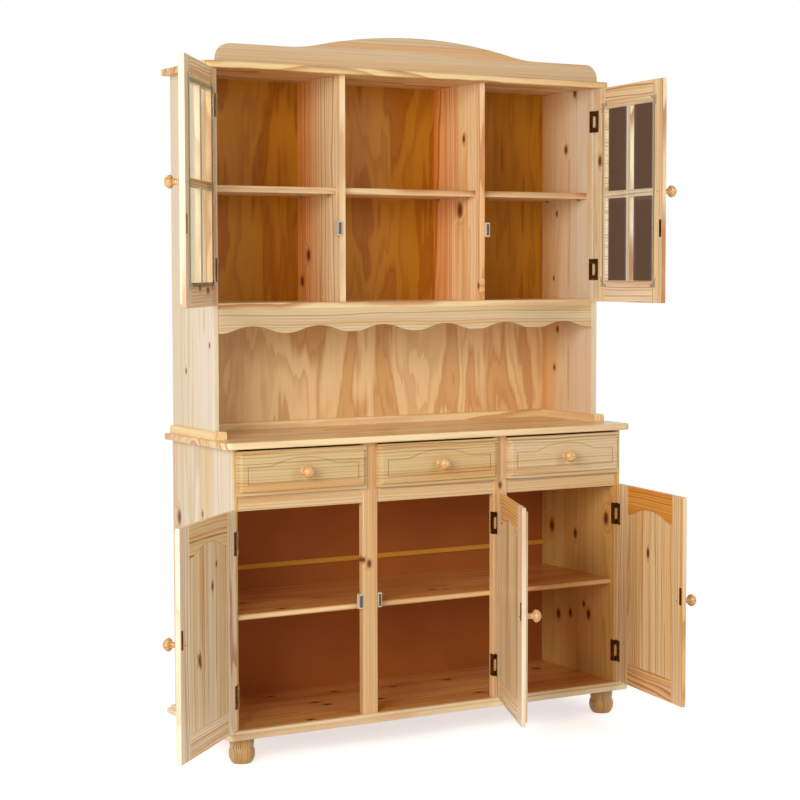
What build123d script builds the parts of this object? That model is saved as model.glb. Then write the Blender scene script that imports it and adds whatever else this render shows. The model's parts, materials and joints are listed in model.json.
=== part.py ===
"""A pine buffet hutch: a three-bay cupboard base with drawers, and a shelved hutch with two glass doors.

The frame has its origin on the floor, in the middle of the base's footprint. +X is to the right as one
faces the furniture, +Y runs back to the wall and +Z is up. All sizes are in millimetres. The five doors
stand open and the drawers are shut, which is how the piece is shown.
"""

import os
from math import cos, radians, sin

from build123d import *

# Carcass of the base
base_width = 1300.0
base_depth = 394.0
base_panel_height = 772.0
board = 18.0
top_board = 19.0
foot_height = 75.0
bottom_board_thickness = 23.0
board_overhang = 25.0
post_width = 48.0
post_depth = 22.0
rail_height = 48.0
rail_depth = 19.0
rail_under = 700.0
shelf_level = 413.0
back_sheet = 4.0
rebate_width = 9.0
sheet_joint_level = 482.0
joint_strip_height = 15.0
joint_strip_depth = 6.0
joint_play = 0.2

# Carcass of the hutch
hutch_width = 1295.0
hutch_depth = 276.0
hutch_panel_height = 994.0
runner_width = 40.0
runner_height = 22.0
runner_nose = 25.0
rear_runner_depth = 22.0
niche_height = 357.0
valance_height = 67.0
valance_wave = 20.0
valance_arches = 6
valance_setback = 2.0
divider_centre = 235.0
divider_setback = 7.0
hutch_shelf_rise = 325.0
hutch_shelf_setback = 30.0
cornice_overhang = 27.0
crest_width = 1268.0
crest_shoulder = 49.5
crest_peak = 94.5
crest_span = 416.0
crest_corner = 42.0
crest_setback = 12.0

# Edges
arris = 2.0
nosing = 7.0
plan_corner = 22.0
edge_inset = 10.0
edge_drop = 8.0
edge_round = 4.0
edge_hollow = 3.5
edge_corner = 3.0
crown_share = 0.78

# Turned feet and knobs
foot_top_radius = 34.5
foot_neck_radius = 32.5
foot_bulge_radius = 36.5
foot_sole_radius = 26.0
foot_shoulder_level = 60.0
foot_neck_level = 45.0
foot_bulge_level = 22.0
foot_inset_side = 41.0
foot_inset_front = 33.0
knob_radius = 17.8
knob_dome = 14.0
knob_shoulder = 11.5
knob_undercut = 52.0
knob_waist_radius = 7.5
knob_waist_level = 12.0
knob_foot_radius = 11.5
knob_length = 42.0

# Doors
door_thickness = 19.0
door_overlay = 5.5
door_foot_clearance = 3.0
door_head_overlay = 6.0
stile_width = 65.0
foot_rail = 65.0
head_rail_side = 85.0
head_rail_middle = 60.0
sticking = 5.0
groove_back = 6.4
groove_width = 6.2
groove_depth = 9.0
arch_margin = 9.0
panel_gap = 0.8
tongue_play = 0.3
bevel_width = 30.0
field_level = 17.5
base_left_opening = 136.0
base_middle_opening = 67.0
base_right_opening = 81.0

# Glass doors
glass_stile = 57.0
glass_rail = 65.0
glass_door_rise = 11.0
glass_door_head_gap = 2.5
glass_lap = 10.0
glass_thickness = 4.0
muntin_width = 22.0
muntin_setback = 2.0
muntin_arris = 4.0
clip_size = 30.0
clip_margin = 9.0
clip_play = 0.3
clip_plate = 2.0
hutch_left_opening = 126.0
hutch_right_opening = 83.0

# Wrap hinges, catches and pegs
pin_gap = 3.8
pin_proud = 5.5
leaf_gap = 2.8
leaf_thickness = 1.2
knuckle_radius = 3.0
pin_radius = 1.2
pin_play = 0.05
pin_head_radius = 1.9
pin_head = 1.2
hinge_height = 65.0
middle_knuckle = 34.6
knuckle_play = 0.2
wing_depth = 16.0
door_wing = 16.0
base_hinge_inset = 92.0
hutch_hinge_inset = 98.0
catch_height = 42.0
catch_width = 12.0
catch_depth = 15.0
catch_gap = 0.3
keeper_width = 12.0
keeper_height = 50.0
base_catch_level = 420.0
hutch_catch_level = 1473.0
peg_radius = 3.0
peg_length = 10.0
peg_inset = 35.0

# Drawers
drawer_thickness = 19.0
drawer_gap = 0.5
drawer_overlay = 6.0
drawer_side_play = 2.5
drawer_lift = 0.3
drawer_side = 12.0
drawer_side_height = 96.0
drawer_length = 340.0
drawer_bottom = 4.0
drawer_groove_level = 7.0
drawer_groove_depth = 5.0
drawer_knob_rise = 60.0
guide_ledge = 18.0
guide_thickness = 18.0
guide_height = 20.0
line_width = 3.0
line_depth = 2.5
line_half = 172.5
line_foot = 29.0
line_shoulder = 79.0
line_peak = 101.0
line_span = 117.0

# Planes and levels that follow from the sizes
front = -base_depth / 2
back = base_depth / 2
base_inner = base_width / 2 - board
base_floor = foot_height + bottom_board_thickness
counter_under = base_floor + base_panel_height
counter_level = counter_under + top_board
bay_width = (2 * base_inner - 2 * post_width) / 3
bay_pitch = bay_width + post_width
bay_centres = {"left": -bay_pitch, "middle": 0.0, "right": bay_pitch}
post_centre = bay_pitch / 2
post_back = front + post_depth
rail_top = rail_under + rail_height
inner_back = back - back_sheet
hutch_front = back - hutch_depth
hutch_inner = hutch_width / 2 - board
hutch_foot = counter_level + runner_height
hutch_floor_under = counter_level + niche_height
hutch_floor = hutch_floor_under + board
hutch_shelf_level = hutch_floor + hutch_shelf_rise
cornice_under = hutch_foot + hutch_panel_height
cornice_level = cornice_under + top_board
divider_outer = divider_centre + board / 2
divider_inner = divider_centre - board / 2
side_bay_width = hutch_inner - divider_outer

# Doors: widths, heights and the places of the pins
base_door_width = bay_width + 2 * door_overlay
base_door_foot = base_floor + door_foot_clearance
base_door_height = rail_under + door_head_overlay - base_door_foot
hutch_door_width = side_bay_width + 2 * door_overlay
hutch_door_foot = hutch_floor_under + glass_door_rise
hutch_door_height = cornice_under - glass_door_head_gap - hutch_door_foot
pin_set = door_overlay + pin_gap
base_pin_y = front - pin_proud
hutch_pin_y = hutch_front - pin_proud
groove_front = groove_back + groove_width

# Each door: the pin's x and y, the hand (+1 hung on its left edge, -1 on its right), its opening in degrees
doors = {
    "base_left": (-base_inner - pin_set, base_pin_y, 1, base_left_opening),
    "base_middle": (post_centre - post_width / 2 + pin_set, base_pin_y, -1, base_middle_opening),
    "base_right": (base_inner + pin_set, base_pin_y, -1, base_right_opening),
    "hutch_left": (-hutch_inner - pin_set, hutch_pin_y, 1, hutch_left_opening),
    "hutch_right": (hutch_inner + pin_set, hutch_pin_y, -1, hutch_right_opening),
}
base_hinge_levels = (base_door_foot + base_hinge_inset, base_door_foot + base_door_height - base_hinge_inset)
hutch_door_head = hutch_door_foot + hutch_door_height
hutch_hinge_levels = (hutch_door_foot + hutch_hinge_inset, hutch_door_head - hutch_hinge_inset)

os.makedirs("parts", exist_ok=True)


def keep(piece, label):
    """Label a finished sub-part and write it to its own file."""
    piece.part.label = label
    export_step(piece.part, f"parts/{label}.step")


def block(x_low, x_high, y_low, y_high, z_low, z_high, mode=Mode.ADD):
    """A squared piece of timber between two corners."""
    with Locations(((x_low + x_high) / 2, (y_low + y_high) / 2, (z_low + z_high) / 2)):
        Box(x_high - x_low, y_high - y_low, z_high - z_low, mode=mode)


def board_plan(level, half_width, front_edge, back_edge, corner):
    """Plan of a board whose two front corners are rounded."""
    with BuildSketch(Plane.XY.offset(level)) as plan:
        with Locations((0, (front_edge + back_edge) / 2)):
            Rectangle(2 * half_width, back_edge - front_edge)
        fillet(plan.vertices().group_by(Axis.Y)[0], corner)
    return plan.sketch


def eyebrow(half_width, foot, shoulder, span, peak):
    """Closed outline whose top sweeps from level shoulders, through two hollow arcs, to one round crown."""
    bend_x = crown_share * span
    bend_y = peak - crown_share * (peak - shoulder)
    Polyline(
        (-span, shoulder),
        (-half_width, shoulder),
        (-half_width, foot),
        (half_width, foot),
        (half_width, shoulder),
        (span, shoulder),
    )
    TangentArc((span, shoulder), (bend_x, bend_y), tangent=(-1, 0))
    ThreePointArc((bend_x, bend_y), (0, peak), (-bend_x, bend_y))
    TangentArc((-span, shoulder), (-bend_x, bend_y), tangent=(1, 0))


def moulded_slab(plane, width, height, thickness):
    """A door or drawer blank: its face edges step back in a hollow and a round, all the way round."""
    with BuildPart() as slab:
        with BuildSketch(plane):
            with Locations((0, height / 2)):
                RectangleRounded(width, height, edge_corner)
        extrude(amount=thickness - edge_drop)
        with BuildSketch(plane.offset(thickness - edge_drop)):
            with Locations((0, height / 2)):
                RectangleRounded(width - 2 * edge_inset, height - 2 * edge_inset, edge_corner)
        extrude(amount=edge_drop)
        outward = Axis(plane.origin, plane.z_dir)
        raised_face = slab.faces().filter_by(outward).sort_by(outward)[-1]
        fillet(raised_face.edges(), edge_round)
        ledge = slab.faces().filter_by(outward).sort_by(outward)[1]
        fillet(ledge.inner_wires()[0].edges(), edge_hollow)
    return slab.part


def leaf_plane(pin_x, pin_y, foot, hand, opening, width):
    """Plane of a door: origin at the middle of its foot on the inner face, y up and z out of its face."""
    turn = radians(-hand * opening)
    along = Vector(cos(turn), sin(turn), 0)
    outward = Vector(sin(turn), -cos(turn), 0)
    middle = along * (hand * (pin_gap + width / 2)) + outward * (leaf_gap - pin_proud)
    return Plane(origin=Vector(pin_x, pin_y, foot) + middle, x_dir=along, z_dir=outward)


def turned_knob(face_plane):
    """A mushroom knob with a waist, turned about the normal of the face it is fixed to."""
    cap_level = knob_length - knob_dome
    undercut = radians(knob_undercut)
    rim = (knob_radius, cap_level)
    neck = (knob_radius * cos(undercut), cap_level - knob_shoulder * sin(undercut))
    profile_plane = Plane(origin=face_plane.origin, x_dir=face_plane.x_dir, z_dir=-face_plane.y_dir)
    with BuildPart() as knob:
        with BuildSketch(profile_plane):
            with BuildLine():
                Polyline((0, knob_length), (0, 0), (knob_foot_radius, 0))
                ThreePointArc((knob_foot_radius, 0), (knob_waist_radius, knob_waist_level), neck)
                TangentArc(rim, neck, tangent=(0, -1))
                TangentArc((0, knob_length), rim, tangent=(1, 0))
            make_face()
        revolve(axis=Axis(face_plane.origin, face_plane.z_dir))
    return knob


def hinge_rectangle(hand, x_low, x_high, out_low, out_high):
    """One strip of a hinge in plan, measured from the pin towards the bay and out of the front."""
    with Locations((hand * (x_low + x_high) / 2, -(out_low + out_high) / 2)):
        Rectangle(x_high - x_low, out_high - out_low)


# Base carcass
with BuildPart() as bun_feet:
    foot_places = [
        (side * (base_width / 2 - foot_inset_side), y)
        for side in (-1, 1)
        for y in (front + foot_inset_front, back - foot_inset_front)
    ]
    for x, y in foot_places:
        with BuildSketch(Plane(origin=(x, y, 0), x_dir=(1, 0, 0), z_dir=(0, -1, 0))):
            with BuildLine():
                Polyline((0, 0), (0, foot_height), (foot_top_radius, foot_height))
                ThreePointArc(
                    (foot_top_radius, foot_height),
                    (foot_top_radius, foot_shoulder_level),
                    (foot_neck_radius, foot_neck_level),
                )
                ThreePointArc(
                    (foot_neck_radius, foot_neck_level),
                    (foot_bulge_radius, foot_bulge_level),
                    (foot_sole_radius, 0),
                )
                Line((foot_sole_radius, 0), (0, 0))
            make_face()
        revolve(axis=Axis((x, y, 0), (0, 0, 1)))
keep(bun_feet, "bun_feet")

with BuildPart() as bottom_board:
    lower_half_width = base_width / 2 + board_overhang
    lower_front = front - board_overhang
    band = bottom_board_thickness - edge_drop
    extrude(board_plan(foot_height, lower_half_width, lower_front, back, plan_corner), amount=band)
    step_half_width = lower_half_width - edge_inset
    step_plan = board_plan(foot_height + band, step_half_width, lower_front + edge_inset, back, plan_corner)
    extrude(step_plan, amount=edge_drop)
    top_edges = bottom_board.faces().sort_by(Axis.Z)[-1].edges().filter_by(lambda e: e.center().Y < back - 1)
    fillet(top_edges, edge_round)
    under_edges = bottom_board.faces().sort_by(Axis.Z)[0].edges()
    fillet(under_edges.filter_by(lambda e: e.center().Y < back - 1), arris)
keep(bottom_board, "bottom_board")

with BuildPart() as base_sides:
    for side in (-1, 1):
        inner, outer = sorted((side * base_inner, side * base_width / 2))
        block(inner, outer, front, back, base_floor, counter_under)
        rebate = sorted((side * base_inner, side * (base_inner + rebate_width)))
        block(*rebate, inner_back, back, base_floor, counter_under, mode=Mode.SUBTRACT)
    fillet(base_sides.edges().filter_by(Axis.Z).group_by(Axis.Y)[0], arris)
keep(base_sides, "base_sides")

with BuildPart() as front_posts:
    for side in (-1, 1):
        x = side * post_centre
        block(x - post_width / 2, x + post_width / 2, front, post_back, base_floor, counter_under)
    fillet(front_posts.edges().filter_by(Axis.Z).group_by(Axis.Y)[0], 2 * arris)
keep(front_posts, "front_posts")

with BuildPart() as drawer_rails:
    rail_front = post_back - rail_depth
    for x in bay_centres.values():
        block(x - bay_width / 2, x + bay_width / 2, rail_front, post_back, rail_under, rail_top)
    block(-base_inner, base_inner, inner_back - rail_depth, inner_back, rail_under, rail_top)
keep(drawer_rails, "drawer_rails")

with BuildPart() as drawer_runners:
    runner_back = inner_back - rail_depth
    for side in (-1, 1):
        x = side * post_centre
        ledge_half = post_width / 2 + guide_ledge
        with BuildSketch(Plane.XZ.offset(-post_back)):
            with Locations((x, rail_top - guide_thickness / 2)):
                Rectangle(2 * ledge_half, guide_thickness)
            with Locations((x, rail_top + guide_height / 2)):
                Rectangle(post_width, guide_height)
        extrude(amount=post_back - runner_back)
        ledge = sorted((side * base_inner, side * (base_inner - guide_ledge)))
        block(*ledge, post_back, runner_back, rail_top - guide_thickness, rail_top)
keep(drawer_runners, "drawer_runners")

with BuildPart() as base_shelf:
    block(-base_inner, base_inner, post_back, inner_back, shelf_level - board, shelf_level)
    fillet(base_shelf.edges().filter_by(Axis.X).group_by(Axis.Y)[0], nosing)
keep(base_shelf, "base_shelf")

with BuildPart() as base_back_sheets:
    sheet_half = base_inner + rebate_width
    block(-sheet_half, sheet_half, inner_back, back, base_floor, sheet_joint_level - joint_play)
    block(-sheet_half, sheet_half, inner_back, back, sheet_joint_level + joint_play, counter_under)
keep(base_back_sheets, "base_back_sheets")

with BuildPart() as back_joint_strip:
    strip_low = sheet_joint_level - joint_strip_height / 2
    block(
        -base_inner,
        base_inner,
        inner_back - joint_strip_depth,
        inner_back,
        strip_low,
        strip_low + joint_strip_height,
    )
    chamfer(back_joint_strip.edges().filter_by(Axis.X).group_by(Axis.Y)[0], arris)
keep(back_joint_strip, "back_joint_strip")

with BuildPart() as counter_top:
    counter_half = base_width / 2 + board_overhang
    counter_front = front - board_overhang
    extrude(board_plan(counter_under, counter_half, counter_front, back, plan_corner), amount=top_board)
    rims = counter_top.faces().filter_by(Axis.Z).edges().filter_by(lambda e: e.center().Y < back - 1)
    fillet(rims, 2 * arris)
keep(counter_top, "counter_top")

# Hutch carcass
with BuildPart() as hutch_runners:
    runner_centre = hutch_inner + board / 2
    rear_half = runner_centre - runner_width / 2 - joint_play
    rear_face = back - rear_runner_depth
    for x in (-runner_centre, runner_centre):
        nose = hutch_front - runner_nose
        block(x - runner_width / 2, x + runner_width / 2, nose, back, counter_level, hutch_foot)
    fillet(hutch_runners.faces().group_by(Axis.Z)[-1].edges().filter_by(Axis.Y), nosing)
    block(-rear_half, rear_half, rear_face, back, counter_level, hutch_foot)
    cross_edges = hutch_runners.edges().filter_by(Axis.X)
    fillet(cross_edges.filter_by(lambda e: abs(e.center().Y - rear_face) < 1).sort_by(Axis.Z)[-1], nosing)
keep(hutch_runners, "hutch_runners")

with BuildPart() as hutch_sides:
    for side in (-1, 1):
        inner, outer = sorted((side * hutch_inner, side * hutch_width / 2))
        block(inner, outer, hutch_front, back, hutch_foot, cornice_under)
        rebate = sorted((side * hutch_inner, side * (hutch_inner + rebate_width)))
        block(*rebate, inner_back, back, hutch_foot, cornice_under, mode=Mode.SUBTRACT)
    fillet(hutch_sides.edges().filter_by(Axis.Z).group_by(Axis.Y)[0], arris)
keep(hutch_sides, "hutch_sides")

with BuildPart() as hutch_dividers:
    for x in (-divider_centre, divider_centre):
        divider_front = hutch_front + divider_setback
        block(x - board / 2, x + board / 2, divider_front, inner_back, hutch_floor, cornice_under)
    fillet(hutch_dividers.edges().filter_by(Axis.Z).group_by(Axis.Y)[0], arris)
keep(hutch_dividers, "hutch_dividers")

with BuildPart() as hutch_floor_board:
    block(-hutch_inner, hutch_inner, hutch_front, inner_back, hutch_floor_under, hutch_floor)
    fillet(hutch_floor_board.edges().filter_by(Axis.X).group_by(Axis.Y)[0], arris)
keep(hutch_floor_board, "hutch_floor_board")

with BuildPart() as scalloped_valance:
    arch_pitch = 2 * hutch_inner / valance_arches
    wave_low = hutch_floor_under - valance_height
    wave_middle = wave_low + valance_wave / 2
    valance_front = hutch_front + valance_setback
    with BuildSketch(Plane.XZ.offset(-valance_front)):
        with BuildLine():
            x = -hutch_inner
            first_bend = (x + arch_pitch / 4, wave_middle)
            TangentArc((x, wave_low), first_bend, tangent=(1, 0))
            for arch in range(valance_arches):
                crown = x + (arch + 0.5) * arch_pitch
                rise = (crown - arch_pitch / 4, wave_middle)
                fall = (crown + arch_pitch / 4, wave_middle)
                ThreePointArc(rise, (crown, wave_low + valance_wave), fall)
                if arch < valance_arches - 1:
                    trough = (crown + arch_pitch / 2, wave_low)
                    ThreePointArc(fall, trough, (crown + 0.75 * arch_pitch, wave_middle))
            TangentArc((hutch_inner, wave_low), (hutch_inner - arch_pitch / 4, wave_middle), tangent=(-1, 0))
            Polyline(
                (hutch_inner, wave_low),
                (hutch_inner, hutch_floor_under),
                (-hutch_inner, hutch_floor_under),
                (-hutch_inner, wave_low),
            )
        make_face()
    extrude(amount=-board)
keep(scalloped_valance, "scalloped_valance")

# The bays of the hutch from left to right, each as its two inner walls
hutch_bays = {
    "left": (-hutch_inner, -divider_outer),
    "middle": (-divider_inner, divider_inner),
    "right": (divider_outer, hutch_inner),
}
shelf_front = hutch_front + hutch_shelf_setback
with BuildPart() as hutch_shelves:
    shelf_under = hutch_shelf_level - board
    for low, high in hutch_bays.values():
        block(low + joint_play, high - joint_play, shelf_front, inner_back, shelf_under, hutch_shelf_level)
    fillet(hutch_shelves.edges().filter_by(Axis.X).group_by(Axis.Y)[0], arris)
keep(hutch_shelves, "hutch_shelves")

with BuildPart() as shelf_pegs:
    walls = [(wall, 1, hutch_shelf_level, shelf_front) for wall, _ in hutch_bays.values()]
    walls += [(wall, -1, hutch_shelf_level, shelf_front) for _, wall in hutch_bays.values()]
    walls += [(-base_inner, 1, shelf_level, post_back), (base_inner, -1, shelf_level, post_back)]
    for wall, inward, level, shelf_nose in walls:
        for y in (shelf_nose + peg_inset, inner_back - peg_inset):
            peg_foot = Plane(origin=(wall, y, level - board - peg_radius), z_dir=(inward, 0, 0))
            with BuildSketch(peg_foot):
                Circle(peg_radius)
            extrude(amount=peg_length)
keep(shelf_pegs, "shelf_pegs")

with BuildPart() as hutch_back_panel:
    panel_half = hutch_inner + rebate_width
    block(-panel_half, panel_half, inner_back, back, hutch_foot, cornice_under)
keep(hutch_back_panel, "hutch_back_panel")

with BuildPart() as cornice_board:
    cornice_half = hutch_width / 2 + cornice_overhang
    cornice_front = hutch_front - cornice_overhang
    extrude(board_plan(cornice_under, cornice_half, cornice_front, back, plan_corner), amount=top_board)
    rims = cornice_board.faces().filter_by(Axis.Z).edges().filter_by(lambda e: e.center().Y < back - 1)
    fillet(rims, 2 * arris)
keep(cornice_board, "cornice_board")

with BuildPart() as crest_board:
    with BuildSketch(Plane.XZ.offset(-(cornice_front + crest_setback))) as crest_face:
        with BuildLine():
            shoulder = cornice_level + crest_shoulder
            eyebrow(crest_width / 2, cornice_level, shoulder, crest_span, cornice_level + crest_peak)
        make_face()
        ends = crest_face.vertices().group_by(Axis.X)
        fillet([ends[0].sort_by(Axis.Y)[-1], ends[-1].sort_by(Axis.Y)[-1]], crest_corner)
    extrude(amount=-board)
    crest_edges = crest_board.faces().sort_by(Axis.Y)[0].edges()
    fillet(crest_edges.filter_by(lambda e: e.center().Z > cornice_level + 1), arris)
keep(crest_board, "crest_board")

# Wrap hinges: the leaf on the carcass folds round its front arris and carries the two end knuckles
end_knuckle = (hinge_height - middle_knuckle) / 2 - knuckle_play
hinge_places = [
    (pin_x, pin_y, hand, level)
    for name, (pin_x, pin_y, hand, _) in doors.items()
    for level in (base_hinge_levels if name.startswith("base") else hutch_hinge_levels)
]
knuckle_shift = (hinge_height - end_knuckle) / 2
leaf_face = pin_set + leaf_thickness
wrap_front = leaf_thickness - pin_proud

with BuildPart() as hinge_frame_leaves:
    for pin_x, pin_y, hand, level in hinge_places:
        plan = Plane(origin=(pin_x, pin_y, level))
        with BuildSketch(plan.offset(-hinge_height / 2)):
            hinge_rectangle(hand, pin_set, leaf_face, -pin_proud - wing_depth, wrap_front)
        extrude(amount=hinge_height)
        ends = [plan.offset(end * knuckle_shift - end_knuckle / 2) for end in (-1, 1)]
        with BuildSketch(*ends):
            hinge_rectangle(hand, -knuckle_radius, leaf_face, -pin_proud, wrap_front)
            hinge_rectangle(hand, -knuckle_radius, leaf_thickness - knuckle_radius, -pin_proud, 0)
            Circle(knuckle_radius)
            Circle(pin_radius + pin_play, mode=Mode.SUBTRACT)
        extrude(amount=end_knuckle)
keep(hinge_frame_leaves, "hinge_frame_leaves")

with BuildPart() as hinge_pins:
    for pin_x, pin_y, hand, level in hinge_places:
        with BuildSketch(Plane(origin=(pin_x, pin_y, level - hinge_height / 2))):
            Circle(pin_radius)
        extrude(amount=hinge_height)
        with BuildSketch(Plane(origin=(pin_x, pin_y, level + hinge_height / 2))):
            Circle(pin_head_radius)
        extrude(amount=pin_head)
keep(hinge_pins, "hinge_pins")

# Magnetic catches beside the free edge of each door
catch_walls = [
    (-post_centre - post_width / 2, -1, front, base_catch_level),
    (-post_centre + post_width / 2, 1, front, base_catch_level),
    (post_centre + post_width / 2, 1, front, base_catch_level),
    (-divider_outer, -1, hutch_front + divider_setback, hutch_catch_level),
    (divider_outer, 1, hutch_front + divider_setback, hutch_catch_level),
]
with BuildPart() as door_catches:
    for wall, away, wall_front, level in catch_walls:
        near, far = sorted((wall, wall + away * catch_width))
        mouth = (front if wall_front == front else hutch_front) - leaf_gap + leaf_thickness + catch_gap
        block(near, far, mouth, wall_front + catch_depth, level - catch_height / 2, level + catch_height / 2)
    fillet(door_catches.edges().filter_by(Axis.X), arris)
keep(door_catches, "door_catches")

# Doors of the base: a stiled frame with a raised, eyebrow-headed panel
opening_half = base_door_width / 2 - stile_width
opening_shoulder = base_door_height - head_rail_side
opening_peak = base_door_height - head_rail_middle
opening_span = opening_half - arch_margin


def grown_opening(grow):
    """The doorway of a panelled door, grown or shrunk all round."""
    eyebrow(
        opening_half + grow,
        foot_rail - grow,
        opening_shoulder + grow,
        opening_span,
        opening_peak + grow,
    )


def door_hardware(plane, place, width, height, hinge_levels, catch_level):
    """The two swinging hinge leaves and the keeper plate that meets the catch."""
    pin_x, pin_y, hand, opening = place
    turn = radians(-hand * opening)
    with BuildPart() as hardware:
        for level in hinge_levels:
            plan = Plane(origin=(pin_x, pin_y, level), x_dir=(cos(turn), sin(turn), 0))
            wing_back = leaf_gap - pin_proud - leaf_thickness
            with BuildSketch(plan.offset(-hinge_height / 2)):
                hinge_rectangle(hand, pin_gap, pin_gap + door_wing, wing_back, wing_back + leaf_thickness)
            extrude(amount=hinge_height)
            with BuildSketch(plan.offset(-middle_knuckle / 2)):
                hinge_rectangle(hand, 0, pin_gap, wing_back, 0)
                Circle(knuckle_radius)
                Circle(pin_radius + pin_play, mode=Mode.SUBTRACT)
            extrude(amount=middle_knuckle)
        with BuildSketch(plane):
            keeper_x = hand * (width / 2 - door_overlay - catch_width / 2)
            with Locations((keeper_x, catch_level - plane.origin.Z)):
                RectangleRounded(keeper_width, keeper_height, arris)
        extrude(amount=-leaf_thickness)
    return hardware


def panelled_door(name, place):
    """Frame, raised panel, knob and hardware of one door of the base."""
    pin_x, pin_y, hand, opening = place
    plane = leaf_plane(pin_x, pin_y, base_door_foot, hand, opening, base_door_width)
    outward = Axis(plane.origin, plane.z_dir)

    with BuildPart() as frame:
        add(moulded_slab(plane, base_door_width, base_door_height, door_thickness))
        with BuildSketch(plane):
            with BuildLine():
                grown_opening(0)
            make_face()
        extrude(amount=door_thickness, mode=Mode.SUBTRACT)
        face = frame.faces().filter_by(outward).sort_by(outward)[-1]
        fillet(face.inner_wires()[0].edges(), sticking)
        with BuildSketch(plane.offset(groove_back)):
            with BuildLine():
                grown_opening(groove_depth)
            make_face()
        extrude(amount=groove_width, mode=Mode.SUBTRACT)
        for side in (-1, 1):
            joint = plane.from_local_coords((side * opening_half, 0, 0))
            split(bisect_by=Plane(origin=joint, z_dir=plane.x_dir), keep=Keep.BOTH)
    keep(frame, f"{name}_door_frame")

    with BuildPart() as panel:
        with BuildSketch(plane):
            with BuildLine():
                grown_opening(-panel_gap)
            make_face()
        extrude(amount=groove_front - tongue_play)
        with BuildSketch(plane.offset(groove_back + tongue_play)):
            with BuildLine():
                grown_opening(groove_depth - 2 * tongue_play)
            make_face()
        extrude(amount=groove_width - 2 * tongue_play)
        for level, grow in ((groove_front - tongue_play, -panel_gap), (field_level, -bevel_width)):
            with BuildSketch(plane.offset(level)):
                with BuildLine():
                    grown_opening(grow)
                make_face()
        loft(ruled=True)
    keep(panel, f"{name}_door_panel")

    knob_x = hand * (base_door_width - stile_width) / 2
    knob_place = plane.from_local_coords((knob_x, base_door_height / 2, door_thickness))
    knob = turned_knob(Plane(origin=knob_place, x_dir=plane.x_dir, z_dir=plane.z_dir))
    keep(knob, f"{name}_door_knob")

    hardware = door_hardware(
        plane, place, base_door_width, base_door_height, base_hinge_levels, base_catch_level
    )
    keep(hardware, f"{name}_door_hardware")


def glazed_door(name, place):
    """Frame, muntins, knob and hardware of one glass door, and the pane that clips hold on its back."""
    pin_x, pin_y, hand, opening = place
    plane = leaf_plane(pin_x, pin_y, hutch_door_foot, hand, opening, hutch_door_width)
    outward = Axis(plane.origin, plane.z_dir)
    light_width = hutch_door_width - 2 * glass_stile
    light_height = hutch_door_height - 2 * glass_rail
    middle = hutch_door_height / 2
    pane_width = light_width + 2 * glass_lap
    pane_height = light_height + 2 * glass_lap

    with BuildPart() as frame:
        add(moulded_slab(plane, hutch_door_width, hutch_door_height, door_thickness))
        with BuildSketch(plane):
            with Locations((0, middle)):
                Rectangle(light_width, light_height)
        extrude(amount=door_thickness, mode=Mode.SUBTRACT)
        face = frame.faces().filter_by(outward).sort_by(outward)[-1]
        fillet(face.inner_wires()[0].edges(), sticking)
        for side in (-1, 1):
            joint = plane.from_local_coords((side * light_width / 2, 0, 0))
            split(bisect_by=Plane(origin=joint, z_dir=plane.x_dir), keep=Keep.BOTH)
    keep(frame, f"{name}_door_frame")

    with BuildPart() as muntins:
        with BuildSketch(plane):
            with Locations((0, middle)):
                Rectangle(muntin_width, light_height)
                Rectangle(light_width, muntin_width)
        extrude(amount=door_thickness - muntin_setback)
        bars = muntins.faces().filter_by(outward).sort_by(outward)[-1]
        chamfer(bars.outer_wire().edges().filter_by(lambda e: e.length > muntin_width + 1), muntin_arris)
    keep(muntins, f"{name}_door_muntins")

    with BuildPart() as pane:
        with BuildSketch(plane):
            with Locations((0, middle)):
                Rectangle(pane_width, pane_height)
        extrude(amount=-glass_thickness)
    keep(pane, f"{name}_door_glass")

    with BuildPart() as clips:
        reach = clip_margin + clip_play
        for side in (-1, 1):
            for end in (-1, 1):
                corner_x = side * (pane_width / 2 + reach)
                corner_y = middle + end * (pane_height / 2 + reach)
                with BuildSketch(plane):
                    with BuildLine():
                        Polyline(
                            (corner_x, corner_y),
                            (corner_x - side * clip_size, corner_y),
                            (corner_x, corner_y - end * clip_size),
                            close=True,
                        )
                    make_face()
                extrude(amount=-glass_thickness - clip_plate)
        with BuildSketch(plane):
            with Locations((0, middle)):
                Rectangle(pane_width + 2 * clip_play, pane_height + 2 * clip_play)
        extrude(amount=-glass_thickness - clip_play, mode=Mode.SUBTRACT)
    keep(clips, f"{name}_door_clips")

    knob_x = hand * (hutch_door_width - glass_stile) / 2
    knob_place = plane.from_local_coords((knob_x, middle, door_thickness))
    knob = turned_knob(Plane(origin=knob_place, x_dir=plane.x_dir, z_dir=plane.z_dir))
    keep(knob, f"{name}_door_knob")

    hardware = door_hardware(
        plane, place, hutch_door_width, hutch_door_height, hutch_hinge_levels, hutch_catch_level
    )
    keep(hardware, f"{name}_door_hardware")


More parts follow.
